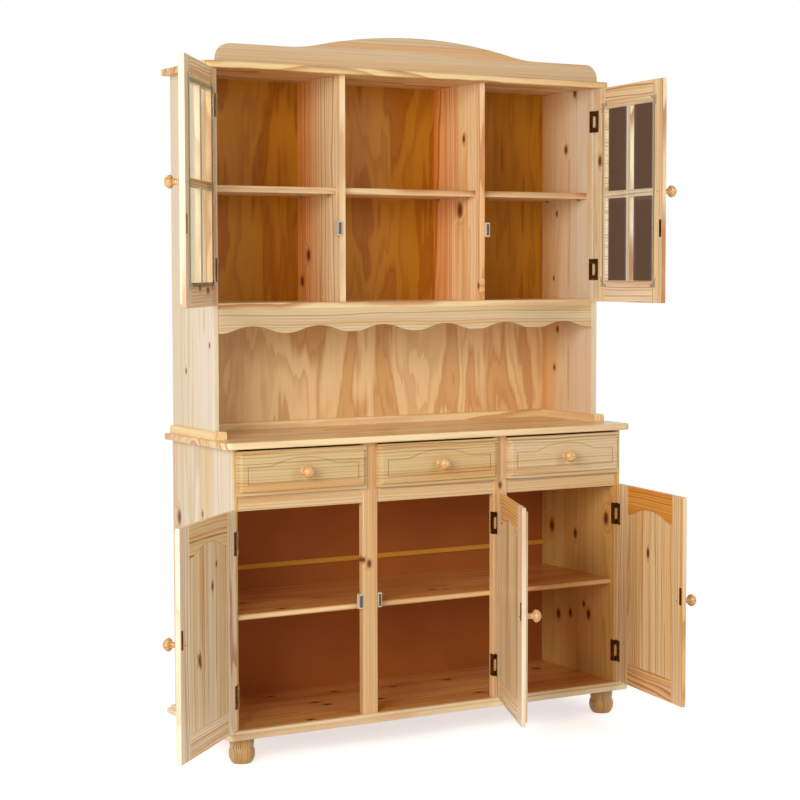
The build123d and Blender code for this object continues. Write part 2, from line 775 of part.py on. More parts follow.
def drawer(name, centre):
    """Front with its routed line, box, bottom and knob of one drawer, shut."""
    width = bay_width + 2 * drawer_overlay
    foot = rail_top - drawer_overlay
    height = counter_under - drawer_overlay - foot
    box_back_face = front - drawer_gap
    plane = Plane(origin=(centre, box_back_face, foot), x_dir=(1, 0, 0), z_dir=(0, -1, 0))
    box_half = bay_width / 2 - drawer_side_play
    box_foot = rail_top + drawer_lift
    box_head = box_foot + drawer_side_height
    box_end = box_back_face + drawer_length
    groove_foot = box_foot + drawer_groove_level
    bottom_half = box_half - drawer_side + drawer_groove_depth - drawer_lift

    with BuildPart() as drawer_front:
        add(moulded_slab(plane, width, height, drawer_thickness))
        with BuildSketch(plane.offset(drawer_thickness)):
            with BuildLine():
                eyebrow(line_half, line_foot, line_shoulder, line_span, line_peak)
            make_face()
            with BuildLine():
                eyebrow(
                    line_half - line_width,
                    line_foot + line_width,
                    line_shoulder - line_width,
                    line_span,
                    line_peak - line_width,
                )
            make_face(mode=Mode.SUBTRACT)
        extrude(amount=-line_depth, mode=Mode.SUBTRACT)
    keep(drawer_front, f"{name}_drawer_front")

    with BuildPart() as box:
        for side in (-1, 1):
            near, far = sorted((centre + side * (box_half - drawer_side), centre + side * box_half))
            block(near, far, box_back_face, box_end, box_foot, box_head)
            wall = centre + side * (box_half - drawer_side)
            slot = sorted((wall, wall + side * drawer_groove_depth))
            block(
                *slot,
                box_back_face,
                box_end,
                groove_foot,
                groove_foot + drawer_bottom + drawer_lift,
                mode=Mode.SUBTRACT,
            )
        back_half = box_half - drawer_side - joint_play
        block(
            centre - back_half,
            centre + back_half,
            box_end - drawer_side,
            box_end,
            groove_foot + drawer_bottom + drawer_lift,
            box_head,
        )
    keep(box, f"{name}_drawer_box")

    with BuildPart() as bottom:
        block(
            centre - bottom_half,
            centre + bottom_half,
            box_back_face,
            box_end,
            groove_foot,
            groove_foot + drawer_bottom,
        )
    keep(bottom, f"{name}_drawer_bottom")

    knob_plane = Plane(
        origin=(centre, box_back_face - drawer_thickness, foot + drawer_knob_rise),
        x_dir=(1, 0, 0),
        z_dir=(0, -1, 0),
    )
    keep(turned_knob(knob_plane), f"{name}_drawer_knob")


for name, place in doors.items():
    if name.startswith("base"):
        panelled_door(name, place)
    else:
        glazed_door(name, place)

for name, centre in bay_centres.items():
    drawer(name, centre)
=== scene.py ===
# %% [markdown]
# # A pine buffet hutch
# The furniture is a pine cupboard with three drawers and a shelved hutch on top of it. Its boards, doors and hinges
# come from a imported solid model, so their shapes and places are already right. What is left to do here is what a
# finisher would do: give every board its own grain, drive the screws and the nails, and set up a plain studio.

# %% The fixed frame
import json
from math import cos, radians, sin

import bpy
from mathutils import Matrix, Vector


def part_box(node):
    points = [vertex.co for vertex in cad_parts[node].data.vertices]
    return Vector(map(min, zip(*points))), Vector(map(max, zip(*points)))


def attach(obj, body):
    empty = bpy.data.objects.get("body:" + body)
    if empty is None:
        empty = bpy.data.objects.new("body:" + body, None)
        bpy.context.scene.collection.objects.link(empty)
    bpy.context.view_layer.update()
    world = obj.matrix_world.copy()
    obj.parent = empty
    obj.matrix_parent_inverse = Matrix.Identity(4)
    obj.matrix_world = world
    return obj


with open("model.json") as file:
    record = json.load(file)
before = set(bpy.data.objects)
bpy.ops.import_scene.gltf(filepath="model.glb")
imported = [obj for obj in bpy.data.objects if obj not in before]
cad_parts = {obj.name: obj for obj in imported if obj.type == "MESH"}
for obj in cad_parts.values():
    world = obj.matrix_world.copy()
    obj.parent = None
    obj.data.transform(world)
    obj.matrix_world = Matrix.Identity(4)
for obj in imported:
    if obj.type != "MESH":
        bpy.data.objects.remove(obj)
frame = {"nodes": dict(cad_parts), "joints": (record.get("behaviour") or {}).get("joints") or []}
nodes = frame["nodes"]
joints = {joint["name"]: joint for joint in frame["joints"]}
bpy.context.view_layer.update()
print("boards and fittings:", len(nodes), "joints:", len(joints))

# %% [markdown]
# ## Writing shader maths as plain sums
# A wood finish is mostly arithmetic: distances from a tree's heart, remainders, blends. Blender does arithmetic with
# Math nodes, and a long chain of them is hard to read in a script. A small class can wrap an output socket and turn
# `a * b + c` into the nodes for us. Every other kind of node is made by one method, which takes the node's type, its
# settings and what goes into its sockets. That keeps a finish readable as a recipe.

# %% A socket that can be added and multiplied


class Wire:
    """An output socket inside a finish, on which sums are written as in Python."""

    def __init__(self, finish, socket):
        self.finish = finish
        self.socket = socket

    def math(self, operation, *others):
        values = dict(enumerate((self,) + others))
        return self.finish.node("ShaderNodeMath", {"operation": operation}, values)

    def __add__(self, other):
        return self.math("ADD", other)

    def __radd__(self, other):
        return self.math("ADD", other)

    def __sub__(self, other):
        return self.math("SUBTRACT", other)

    def __rsub__(self, other):
        return self.finish.number(other).math("SUBTRACT", self)

    def __mul__(self, other):
        return self.math("MULTIPLY", other)

    def __rmul__(self, other):
        return self.math("MULTIPLY", other)

    def __truediv__(self, other):
        return self.math("DIVIDE", other)

    def __gt__(self, other):
        return self.math("GREATER_THAN", other)

    def __lt__(self, other):
        return self.math("LESS_THAN", other)

    def __abs__(self):
        return self.math("ABSOLUTE")

    def rise(self, low, high):
        """0 below low, 1 above high and a smooth step between them."""
        values = {"Value": self, "From Min": low, "From Max": high}
        return self.finish.node("ShaderNodeMapRange", {"interpolation_type": "SMOOTHSTEP"}, values)

    def fall(self, low, high):
        """1 below low, 0 above high."""
        return 1 - self.rise(low, high)


class Number:
    """A plain number that starts a sum, so that 1 - mask works as well as mask - 1."""

    def __init__(self, finish, value):
        self.finish = finish
        self.value = value

    def math(self, operation, other):
        return self.finish.node("ShaderNodeMath", {"operation": operation}, {0: self.value, 1: other})


print("sums can be written with a", Wire.__name__, "or a", Number.__name__)

# %% [markdown]
# ## One finish
# A `Finish` is a material with its node tree. Its surface is one Principled shader, and what doesn't change over the
# surface is written straight on that shader's sockets.

# %% The finish and its nodes


class Finish:
    """A material, its Principled shader and one method that makes any node."""

    def __init__(self, name, **constants):
        self.material = bpy.data.materials.new(name)
        self.material.use_nodes = True
        self.tree = self.material.node_tree
        self.tree.nodes.clear()
        self.output = self.tree.nodes.new("ShaderNodeOutputMaterial")
        self.shader = self.tree.nodes.new("ShaderNodeBsdfPrincipled")
        self.tree.links.new(self.shader.outputs[0], self.output.inputs["Surface"])
        for socket, value in constants.items():
            self.shader.inputs[socket.replace("_", " ")].default_value = value

    def number(self, value):
        return Number(self, value)

    def node(self, kind, settings=None, values=None, output=0):
        """Any node: its settings, what goes into its sockets, and which of its outputs is wanted."""
        made = self.tree.nodes.new(kind)
        for key, value in (settings or {}).items():
            setattr(made, key, value)
        for key, value in (values or {}).items():
            self.feed(made.inputs[key], value)
        return Wire(self, made.outputs[output])

    def fixed(self, value):
        """A wire that carries one number."""
        wire = self.node("ShaderNodeValue")
        wire.socket.default_value = value
        return wire

    def feed(self, socket, value):
        if isinstance(value, Wire):
            self.tree.links.new(value.socket, socket)
        else:
            socket.default_value = value

    def set(self, **sockets):
        for socket, value in sockets.items():
            self.feed(self.shader.inputs[socket.replace("_", " ")], value)

    def join(self, x, y, z=0.0):
        return self.node("ShaderNodeCombineXYZ", None, {0: x, 1: y, 2: z})

    def split(self, vector):
        parts = self.node("ShaderNodeSeparateXYZ", None, {0: vector}).socket.node
        return tuple(Wire(self, parts.outputs[i]) for i in range(3))

    def blend(self, amount, first, second, mode="MIX"):
        """Mix two colours. A Mix node for colours has its factor at 0, its colours at 6 and 7 and its result at 2."""
        settings = {"data_type": "RGBA", "blend_type": mode, "clamp_factor": True}
        return self.node("ShaderNodeMix", settings, {0: amount, 6: first, 7: second}, 2)

    def noise(self, vector, detail=2.0, roughness=0.5, distortion=0.0):
        values = {"Vector": vector, "Scale": 1.0, "Detail": detail, "Roughness": roughness, "Distortion": distortion}
        return self.node("ShaderNodeTexNoise", {"noise_dimensions": "3D"}, values)

    def chance(self, seed):
        """Three random numbers from 0 to 1 that depend on one number only."""
        drawn = self.node("ShaderNodeTexWhiteNoise", {"noise_dimensions": "1D"}, {"W": seed}, 1)
        return self.split(drawn)

    def bump(self, height, strength, distance):
        values = {"Strength": strength, "Distance": distance, "Height": height}
        self.set(Normal=self.node("ShaderNodeBump", None, values))


def any_of(masks):
    """1 where at least one of the masks is 1."""
    total = masks[0]
    for mask in masks[1:]:
        total = total + mask
    return total.math("MINIMUM", 1.0)


def linear(red, green, blue):
    """A colour as it looks on screen, from 0 to 255, as the linear light that shaders work in."""
    parts = []
    for value in (red, green, blue):
        level = value / 255
        parts.append(level / 12.92 if level <= 0.04045 else ((level + 0.055) / 1.055) ** 2.4)
    return (*parts, 1.0)


print("finishing tools are ready")

# %% [markdown]
# ## How a pine board gets its figure
# A board's figure is a slice through a tree's yearly rings. Painting stripes by hand never looks right when a board
# turns a corner, so the recipe keeps the tree: every board has a heart line somewhere behind it, the distance from
# that line is divided into years, and each year goes from pale early wood to a thin dark line of late wood. The
# heart line leans a little, which draws the pointed arches of flat-sawn pine. Where a branch left the trunk, the
# rings swell round a knot.

# %% Tones of the timber
# Early, rose and straw are the ground, late is the dark line of a year, and ring is the width of a year in metres.
PALE = {
    "early": linear(244, 216, 166),
    "rose": linear(240, 200, 144),
    "straw": linear(232, 202, 134),
    "late": linear(174, 100, 36),
    "amber": linear(220, 150, 66),
    "knot": linear(118, 52, 16),
    "core": linear(58, 22, 8),
    "contrast": 0.95,
    "ring": 0.009,
    "streak": 0.3,
}
CREAM = {
    **PALE,
    "early": linear(228, 216, 194),
    "rose": linear(226, 206, 178),
    "straw": linear(222, 208, 172),
    "late": linear(196, 150, 94),
    "amber": linear(216, 178, 122),
    "contrast": 0.6,
    "ring": 0.012,
    "streak": 0.16,
}
WARM = {
    **PALE,
    "early": linear(248, 224, 178),
    "rose": linear(246, 210, 162),
    "straw": linear(242, 212, 150),
    "late": linear(192, 118, 54),
    "ring": 0.012,
}
STRAW = {
    **PALE,
    "early": linear(224, 200, 156),
    "rose": linear(222, 190, 142),
    "straw": linear(214, 188, 130),
    "late": linear(158, 98, 40),
    "amber": linear(206, 146, 76),
    "contrast": 0.85,
    "streak": 0.24,
}
TURNED = {
    **PALE,
    "early": linear(226, 180, 118),
    "rose": linear(218, 166, 104),
    "late": linear(170, 102, 46),
    "ring": 0.005,
}
BROWN = {**TURNED, "early": linear(180, 134, 90), "rose": linear(166, 118, 76), "late": linear(112, 66, 34)}
POST = {**PALE, "early": linear(230, 194, 152), "rose": linear(228, 182, 136), "straw": linear(220, 184, 130)}
CREST = {
    **STRAW,
    "early": linear(208, 180, 142),
    "rose": linear(206, 172, 130),
    "straw": linear(198, 170, 120),
    "contrast": 0.45,
}
FACE = {**PALE, "early": linear(252, 234, 200), "rose": linear(250, 224, 184), "straw": linear(244, 224, 172)}
LIT = {**FACE, "late": linear(184, 116, 56)}
print("tones mixed, each with", len(PALE), "values")

# %% [markdown]
# ## Knots
# A knot is the foot of a branch: a hard round of darker wood with rings of its own, a darker core, and a halo of
# resin. Because a saw meets it at a slant, it is longer than it is wide. All of it follows from one distance, the
# reach, which is 1 at the knot's edge. Where a knot is known its place is given, and elsewhere a Voronoi texture
# strews a few, one cell in several holding one.

# %% Knots
STRETCH = 0.6


def knot_parts(reach, radius):
    """How far a knot pushes the rings aside, then its wood, its dark core with rings, and the resin round it."""
    push = reach.fall(0.6, 3.4) * radius * 2.0
    turns = reach * 4.0
    lines = (turns - turns.math("FLOOR")).rise(0.35, 0.85) * reach.fall(1.0, 1.6)
    return push, reach.fall(0.8, 1.25), reach.fall(0.25, 0.6) + lines * 0.6, reach.fall(0.9, 2.6)


def knot_marks(along, across, knots):
    """The parts of knots given as (along, across, radius)."""
    total = None
    for knot_along, knot_across, outer in knots:
        run, side, radius = (along - knot_along) * STRETCH, across - knot_across, outer * 0.7
        reach = (run * run + side * side).math("SQRT") / radius
        parts = knot_parts(reach, radius)
        total = parts if total is None else tuple(one + more for one, more in zip(total, parts))
    return total


def scattered_knots(finish, along, across, board, spacing, share):
    """Knots strewn over the boards: one cell in a few holds one, of its own size."""
    narrow = spacing * 0.4
    cells = finish.join(along * (1 / spacing), across * (1 / narrow) + board * 3.7, 0.0)
    settings = {"voronoi_dimensions": "2D", "feature": "F1"}
    found = finish.node("ShaderNodeTexVoronoi", settings, {"Vector": cells, "Scale": 1.0, "Randomness": 0.85})
    places = found.socket.node
    luck_x, luck_y, _ = finish.split(Wire(finish, places.outputs["Color"]))
    near_x, near_y, _ = finish.split(Wire(finish, places.outputs["Position"]))
    cell_x, cell_y, _ = finish.split(cells)
    run = (cell_x - near_x) * spacing * 0.55
    side = (cell_y - near_y) * narrow
    radius = luck_y * 0.007 + 0.004
    reach = (run * run + side * side).math("SQRT") / radius
    kept = luck_x < share
    return tuple(part * kept for part in knot_parts(reach, radius))


print("knots are stretched to", round(1 / STRETCH, 2), "times their width")

# %% [markdown]
# ## A board from its rings
# Everything on a board hangs on two numbers: the board's own number, which draws the place of its heart line and its
# ground tone, and the distance from that line. The whole part of the distance counts the years and the rest is the
# season. Drift, ripple, fibre and streak are noises stretched along the fibres, from wide to fine. The gloss and the
# pores come from the same fibre, so they never cross the figure.

# %% Timber and staves
KNOT_SPACING = 0.42


def timber(
    finish, along, across, depth, board, tones, knots=(), strewn=0.12, glue=None, lean=0.05, gloss=0.38, painted_light=None
):
    """Give a finish the colour, gloss and pores of pine boards whose fibres run along.

    Strewn is the share of cells with a knot, glue marks the glue lines, lean tilts the heart line, and the last
    argument is a mask and a colour of painted light and shade, multiplied over the wood under the mask.
    """
    luck_heart, luck_depth, luck_lean = finish.chance(board + 0.37)
    luck_rose, luck_straw, luck_dark = finish.chance(board + 7.91)
    drift = finish.noise(finish.join(along * 1.6, across * 10.0, board * 5.3), detail=2.0)
    ripple = finish.noise(finish.join(along * 7.0, across * 55.0, board * 3.1 + depth * 40.0), detail=2.0)
    fibre = finish.noise(finish.join(along * 9.0, across * 420.0, depth * 420.0 + board), detail=3.0, roughness=0.65)
    streak = finish.noise(finish.join(along * 1.1, across * 85.0, depth * 85.0 + board * 1.9), detail=2.0)
    swell, heart, core, halo = scattered_knots(finish, along, across, board, KNOT_SPACING, strewn)
    if knots:
        more = knot_marks(along, across, knots)
        swell, heart, core, halo = (one + other for one, other in zip((swell, heart, core, halo), more))
    side = across - (luck_heart - 0.5) * 0.16 + (drift - 0.5) * 0.03
    below = depth + luck_depth * 0.07 + 0.018 + along * ((luck_lean - 0.5) * lean) + (drift - 0.5) * 0.05
    radius = (side * side + below * below).math("SQRT") + (ripple - 0.5) * 0.004 + swell
    years = radius / tones["ring"]
    year = years.math("FLOOR")
    season = years - year
    strength, _, _ = finish.chance(year + board * 13.0)
    late = season.rise(0.3, 0.86) * season.fall(0.9, 1.0) * (strength * strength * 0.85 + 0.15)
    resin = finish.noise(finish.join(radius * 34.0, board * 4.1, along * 0.8), detail=1.0).rise(0.5, 0.72)
    colour = finish.blend(luck_rose.rise(0.35, 0.9) * 0.85, tones["early"], tones["rose"])
    colour = finish.blend(luck_straw.rise(0.45, 0.95) * 0.7, colour, tones["straw"])
    colour = finish.blend(luck_dark * 0.14, colour, tones["late"])
    colour = finish.blend(resin * 0.62, colour, tones["amber"])
    colour = finish.blend(streak.rise(0.5, 0.72) * tones["streak"], colour, tones["late"])
    colour = finish.blend(late * tones["contrast"], colour, tones["late"])
    colour = finish.blend(fibre.rise(0.5, 0.8) * 0.2, colour, tones["late"])
    colour = finish.blend(halo.math("MINIMUM", 1.0) * 0.42, colour, tones["late"])
    colour = finish.blend(heart.math("MINIMUM", 1.0) * 0.8, colour, tones["knot"])
    colour = finish.blend(core.math("MINIMUM", 1.0) * 0.75, colour, tones["core"])
    if glue is not None:
        colour = finish.blend(glue * 0.45, colour, tones["knot"])
    # painted light and shade: a colour multiplied over the wood under a mask
    if painted_light:
        colour = finish.blend(painted_light[0], colour, painted_light[1], "MULTIPLY")
    finish.set(Base_Color=colour, Roughness=fibre * 0.14 + (gloss - 0.05))
    finish.bump(late * 0.6 + fibre * 0.4, 0.25, 0.0004)


def staves(finish, across, width, seed):
    """Number the staves of an edge-glued board, of uneven widths, and find the glue lines between them."""
    step = across / width + (across * 31.0 + seed).math("SINE") * 0.2
    number = step.math("FLOOR")
    glue = abs(step - number - 0.5).rise(0.488, 0.499)
    return number + seed * 17.0, glue


print("timber is cut from rings", PALE["ring"] * 1000, "mm apart")

# %% [markdown]
# ## Finding a board's own directions
# Object coordinates are the same for the whole piece of furniture, so a finish has to be told which way the fibres
# of a board run. The doors stand open at odd angles, and for them the coordinates are first turned back about the
# hinge pin with a Mapping node. After that, a door's boards are described as if it were shut.

# %% Directions and doors
AXES = {"x": 0, "y": 1, "z": 2}
# Each door's hand (1 where it is hinged on its left), its width and the width of its stiles.
DOORS = {
    "base_left": (1, 0.40033, 0.065),
    "base_middle": (-1, 0.40033, 0.065),
    "base_right": (-1, 0.40033, 0.065),
    "hutch_left": (1, 0.3965, 0.057),
    "hutch_right": (-1, 0.3965, 0.057),
}
PIN_GAP = 0.0038  # from the pin to the hinged edge of the door


def room_place(finish):
    """Object coordinates as three wires."""
    return finish.split(finish.node("ShaderNodeTexCoord", output="Object"))


def door_place(finish, door):
    """Place on a door as if it were shut: from its hinged edge, through its thickness, and up."""
    hand, width, _ = DOORS[door]
    joint = joints[f"{door}_door_hinge"]
    turn = radians(hand * joint["range_deg"][0])
    pin = joint["pos_m"]
    values = {
        "Vector": finish.node("ShaderNodeTexCoord", output="Object"),
        "Location": (pin[0], pin[1], 0.0),
        "Rotation": (0.0, 0.0, turn),
    }
    run, depth, up = finish.split(finish.node("ShaderNodeMapping", {"vector_type": "TEXTURE"}, values))
    return run * hand - PIN_GAP, depth, up


def dress(node, finish):
    """Put a finish on a board or a fitting of the fixed frame."""
    slots = nodes[node].data.materials
    slots.clear()
    slots.append(finish.material)


print("finishes know", len(DOORS), "doors")

# %% [markdown]
# ## Boards that run one way
# Most pieces are boards whose fibres all run the same way, so one function finishes them all. It takes the direction
# of the fibres and the direction across them, and the third is the board's thickness. A left and a right board share
# one piece, and the second of them is cut from other wood. Inside the cupboard a painted shade, warm in tone, darkens
# the wood and can deepen towards the rear, and a mask on the same coordinates tells the inside from the outside.

# %% A board that runs one way
THIN = 0.3  # the rings change more slowly through a board's thickness than over its face
SECOND, SECOND_BOARD, SECOND_DEPTH = 10.0, 5.0, 0.4  # what the second board of a pair adds to its place
INSIDE = 0.634  # half the clear width inside the cupboard
# painted shade on the inner walls deepens between these places, from front to back
PAINTED_SHADE_RAMP = (0.0, 0.2)  # inner walls darken between these places, from front to back


def pine(
    node, fibres, across, tones=PALE, stave=None, seed=1.0, halves=None, inner=None, nose=None, cross=None, coat=0.08,
    **details,
):
    """Finish a node whose boards all run the same way.

    Halves names the axis that tells its two boards apart. Inner is (reach, colour, share): painted shade darkens wood
    nearer to the middle than reach, and share of that comes only towards the rear. Nose is (place, colour): painted
    shade darkens wood inside the cupboard and further back than place. A board within cross of the middle lies across
    the others.
    """
    finish = Finish(node, Coat_Weight=coat, Coat_Roughness=0.18, Specular_IOR_Level=0.25)
    place = room_place(finish)
    along, side = place[AXES[fibres]], place[AXES[across]]
    depth = place[3 - AXES[fibres] - AXES[across]]
    if cross:
        turned = abs(place[0]) < cross
        along, side = along + (side - along) * turned, side + (along - side) * turned
    board, glue = staves(finish, side, stave, seed) if stave else (finish.fixed(seed), None)
    if halves:
        second = place[AXES[halves]] > 0.0
        board = board + second * SECOND_BOARD
        depth = depth - second * SECOND_DEPTH
        along = along + second * SECOND
    # painted shade, warm in tone, on the faces inside the cupboard; share of it deepens towards the rear
    if inner:
        reach, shade, share = inner
        deep = place[1].rise(*PAINTED_SHADE_RAMP) * share + (1 - share)
        details["painted_light"] = ((abs(place[0]) < reach) * deep, shade)
    # painted shade on the wood inside the cupboard, behind the front edge
    if nose:
        front, shade = nose
        within = abs(place[0]) < INSIDE
        details["painted_light"] = (place[1].rise(front - 0.001, front + 0.002) * within, shade)
    timber(finish, along, side, depth * THIN, board, tones, glue=glue, **details)
    dress(node, finish)


print("the second board of a pair is cut", SECOND, "m further along")

# %% [markdown]
# ## The boards of the carcass
# Wide panels like the sides are glued up from staves, and each stave comes from another part of the log. The posts,
# rails and the shelf edges are single boards. Boards that face the room are pale, and inside the cupboard a warm
# painted shade darkens them.

# %% Where the knots are
# Each knot is (along the fibres, across them, radius).
SIDE_KNOTS = (
    (0.649, 0.154, 0.016),
    (0.674, -0.007, 0.007),
    (SECOND + 0.541, 0.137, 0.016),
    (SECOND + 0.53, 0.009, 0.012),
    (SECOND + 0.595, -0.153, 0.016),
    (SECOND + 0.262, 0.1, 0.013),
    (SECOND + 0.275, 0.033, 0.012),
    (SECOND + 0.285, -0.063, 0.013),
    (SECOND + 0.313, -0.039, 0.008),
)
HUTCH_KNOTS = (
    (1.07, 0.103, 0.007),
    (1.148, -0.057, 0.006),
    (SECOND + 1.901, 0.016, 0.012),
    (SECOND + 1.727, 0.063, 0.012),
    (SECOND + 1.53, 0.112, 0.007),
    (SECOND + 1.328, 0.128, 0.006),
    (SECOND + 1.167, 0.107, 0.009),
    (SECOND + 1.046, 0.123, 0.008),
)
DIVIDER_KNOTS = (
    (1.399, 0.124, 0.014),
    (1.322, 0.165, 0.013),
    (SECOND + 1.534, 0.04, 0.018),
    (SECOND + 1.746, 0.018, 0.009),
    (SECOND + 1.307, -0.066, 0.007),
)
POST_KNOTS = ((0.538, -0.24, 0.006), (0.526, -0.223, 0.009), (SECOND + 0.725, 0.217, 0.008))
SHELF_KNOTS = ((-0.473, -0.145, 0.011), (-0.528, -0.008, 0.01), (0.053, -0.082, 0.01), (0.091, -0.092, 0.007))
FLOOR_KNOTS = (
    (-0.291, 0.008, 0.012),
    (-0.273, -0.033, 0.011),
    (-0.37, 0.143, 0.009),
    (-0.175, 0.107, 0.01),
    (-0.403, -0.18, 0.011),
    (-0.104, -0.046, 0.01),
    (0.536, 0.08, 0.01),
    (0.193, -0.121, 0.01),
    (0.205, 0.082, 0.01),
)
BOARD_KNOTS = (SIDE_KNOTS, HUTCH_KNOTS, DIVIDER_KNOTS, POST_KNOTS, SHELF_KNOTS, FLOOR_KNOTS)
print("known knots on the carcass:", sum(len(knots) for knots in BOARD_KNOTS))

# %% Carcass boards
# painted shade darkens the bottom board and the shelf behind their front edges
board_painted_shade = (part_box("front_posts")[0].y, linear(236, 190, 132))
shelf_painted_shade = (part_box("base_shelf")[0].y, linear(230, 182, 124))
rear_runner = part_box("hutch_runners")[1].x - 0.04
pine("bun_feet", "z", "x", BROWN, seed=3.0, strewn=0.0)
pine("bottom_board", "x", "y", LIT, stave=0.085, seed=2.0, nose=board_painted_shade, coat=0.3, knots=FLOOR_KNOTS)
# the inner colours of the sides and the dividers are painted shade
pine(
    "base_sides", "z", "y", CREAM, stave=0.068, seed=4.0, halves="x", inner=(0.641, linear(246, 210, 142), 0.0),
    knots=SIDE_KNOTS, strewn=0.0,
)
pine("front_posts", "z", "x", POST, seed=6.0, halves="x", knots=POST_KNOTS, strewn=0.0)
pine("drawer_rails", "x", "z", STRAW, seed=7.0, strewn=0.0)
pine("drawer_runners", "y", "x", WARM, seed=8.0)
pine("base_shelf", "x", "y", LIT, stave=0.09, seed=9.0, nose=shelf_painted_shade, coat=0.3, knots=SHELF_KNOTS)
pine("counter_top", "x", "y", stave=0.085, seed=10.0, coat=0.4, strewn=0.0)
pine("hutch_runners", "y", "x", WARM, seed=11.0, cross=rear_runner)
pine(
    "hutch_sides", "z", "y", CREAM, stave=0.062, seed=12.0, halves="x", inner=(0.639, linear(252, 212, 160), 0.75),
    knots=HUTCH_KNOTS, strewn=0.0,
)
pine(
    "hutch_dividers", "z", "y", WARM, stave=0.066, seed=13.0, halves="x", inner=(0.639, linear(250, 202, 146), 1.0),
    knots=DIVIDER_KNOTS, strewn=0.0,
)
pine("hutch_floor_board", "x", "y", stave=0.08, seed=14.0)
pine("scalloped_valance", "x", "z", STRAW, seed=15.0, strewn=0.0)
pine("hutch_shelves", "x", "y", stave=0.07, seed=16.0)
pine("cornice_board", "x", "y", stave=0.08, seed=17.0)
pine("crest_board", "x", "z", CREST, seed=18.0, strewn=0.0)
print("carcass boards finished")

# %% [markdown]
# ## Backs
# The hutch has a back of peeled veneer: the knife goes round the log, so the rings open into wide wandering islands.
# A noise that is stretched upwards and cut off at a few heights gives the islands, and its contour lines give the
# years between them. Up in the hutch, on the face that looks into the room, an amber painted shade darkens the
# veneer. The cupboard's back is plain brown board in two sheets with a strip over their joint.

# %% Backs
# The ground, the flames and the line round a flame.
NICHE = (linear(242, 206, 150), linear(204, 142, 70), linear(178, 104, 42))
# the painted shade of the hutch back begins between these heights
HUTCH_FLOOR = (1.23, 1.25)  # the amber begins between these heights


def veneer(node, tones, shade=None):
    """Peeled veneer, whose tones are its ground, its flames and the line round a flame."""
    finish = Finish(node, Coat_Weight=0.02, Specular_IOR_Level=0.15)
    x, y, z = room_place(finish)
    ragged = finish.noise(finish.join(x * 70.0, y, z * 5.0), detail=2.0)
    field = finish.noise(finish.join(x * 4.6, y, z * 1.05), detail=3.0, roughness=0.5, distortion=0.35)
    fibre = finish.noise(finish.join(x * 300.0, y, z * 7.0), detail=3.0, roughness=0.6)
    height = field + (ragged - 0.5) * 0.07
    colour = finish.blend(height.rise(0.5, 0.535) * 0.6, tones[0], tones[1])
    colour = finish.blend(height.rise(0.6, 0.64) * 0.6, colour, tones[0])
    colour = finish.blend(height.fall(0.36, 0.4) * 0.5, colour, tones[1])
    years = height * 13.0
    season = years - years.math("FLOOR")
    colour = finish.blend(season.rise(0.3, 0.9) * season.fall(0.93, 1.0) * 0.28, colour, tones[2])
    colour = finish.blend(fibre.rise(0.5, 0.8) * 0.16, colour, tones[2])
    # painted shade over the hutch back's front face, above the hutch floor
    if shade:
        inside = y < (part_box(node)[0].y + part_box(node)[1].y) / 2
        colour = finish.blend(z.rise(*HUTCH_FLOOR) * inside, colour, shade, "MULTIPLY")
    finish.set(Base_Color=colour, Roughness=fibre * 0.15 + 0.36)
    finish.bump(fibre, 0.2, 0.0003)
    dress(node, finish)


def brown_board(node, tone, mottle):
    """Smooth brown board with faint clouds."""
    finish = Finish(node, Specular_IOR_Level=0.12)
    x, y, z = room_place(finish)
    cloud = finish.noise(finish.join(x * 3.0, y, z * 4.0), detail=3.0)
    grit = finish.noise(finish.join(x * 900.0, y * 900.0, z * 900.0), detail=1.0)
    colour = finish.blend(cloud.rise(0.35, 0.7) * 0.5, tone, mottle)
    colour = finish.blend(grit.rise(0.5, 0.8) * 0.15, colour, mottle)
    finish.set(Base_Color=colour, Roughness=grit * 0.1 + 0.42)
    dress(node, finish)


# the last colour is the painted shade up in the hutch
veneer("hutch_back_panel", NICHE, linear(206, 164, 62))
brown_board("base_back_sheets", linear(176, 102, 46), linear(152, 82, 34))
brown_board("back_joint_strip", linear(222, 164, 62), linear(204, 144, 50))
print("backs finished")

# %% [markdown]
# ## Door frames
# A frame-and-panel door has its fibres upright in the stiles and across in the rails, so one finish has to switch
# directions at the shoulder of each joint. A mask on the width does that: it is 1 in a stile and 0 in a rail, and it
# swaps the two coordinates. The upper rail is cut from another part of the plank than the lower one, or the same
# knots would come twice. On the lower doors a warm painted bounce light and shade darkens the rails, most of all the
# upper rail, and a few doors are made of paler wood than the others.

# %% Door frames
PALER = ("base_left", "base_middle", "hutch_left", "hutch_right")
# how strongly painted warm bounce light and shade darken the rails of each lower door
RAIL_PAINTED_BOUNCE = {"base_left": 0.4, "base_middle": 0.9, "base_right": 1.0}
RAILS_APART = {"base": 0.9, "hutch": 1.7}  # how far up the plank the upper rail is cut, in heights of the door
DOOR_KNOTS = {"hutch_right": ((1.684, 0.025, 0.013),), "hutch_left": ((0.225, 1.308, 0.01), (0.12, 1.302, 0.012))}


def family(door):
    """The row that a door is in: base or hutch."""
    return door.split("_")[0]


def door_finish(door, part):
    return Finish(f"{door}_door_{part}", Coat_Weight=0.1, Coat_Roughness=0.22, Specular_IOR_Level=0.3)


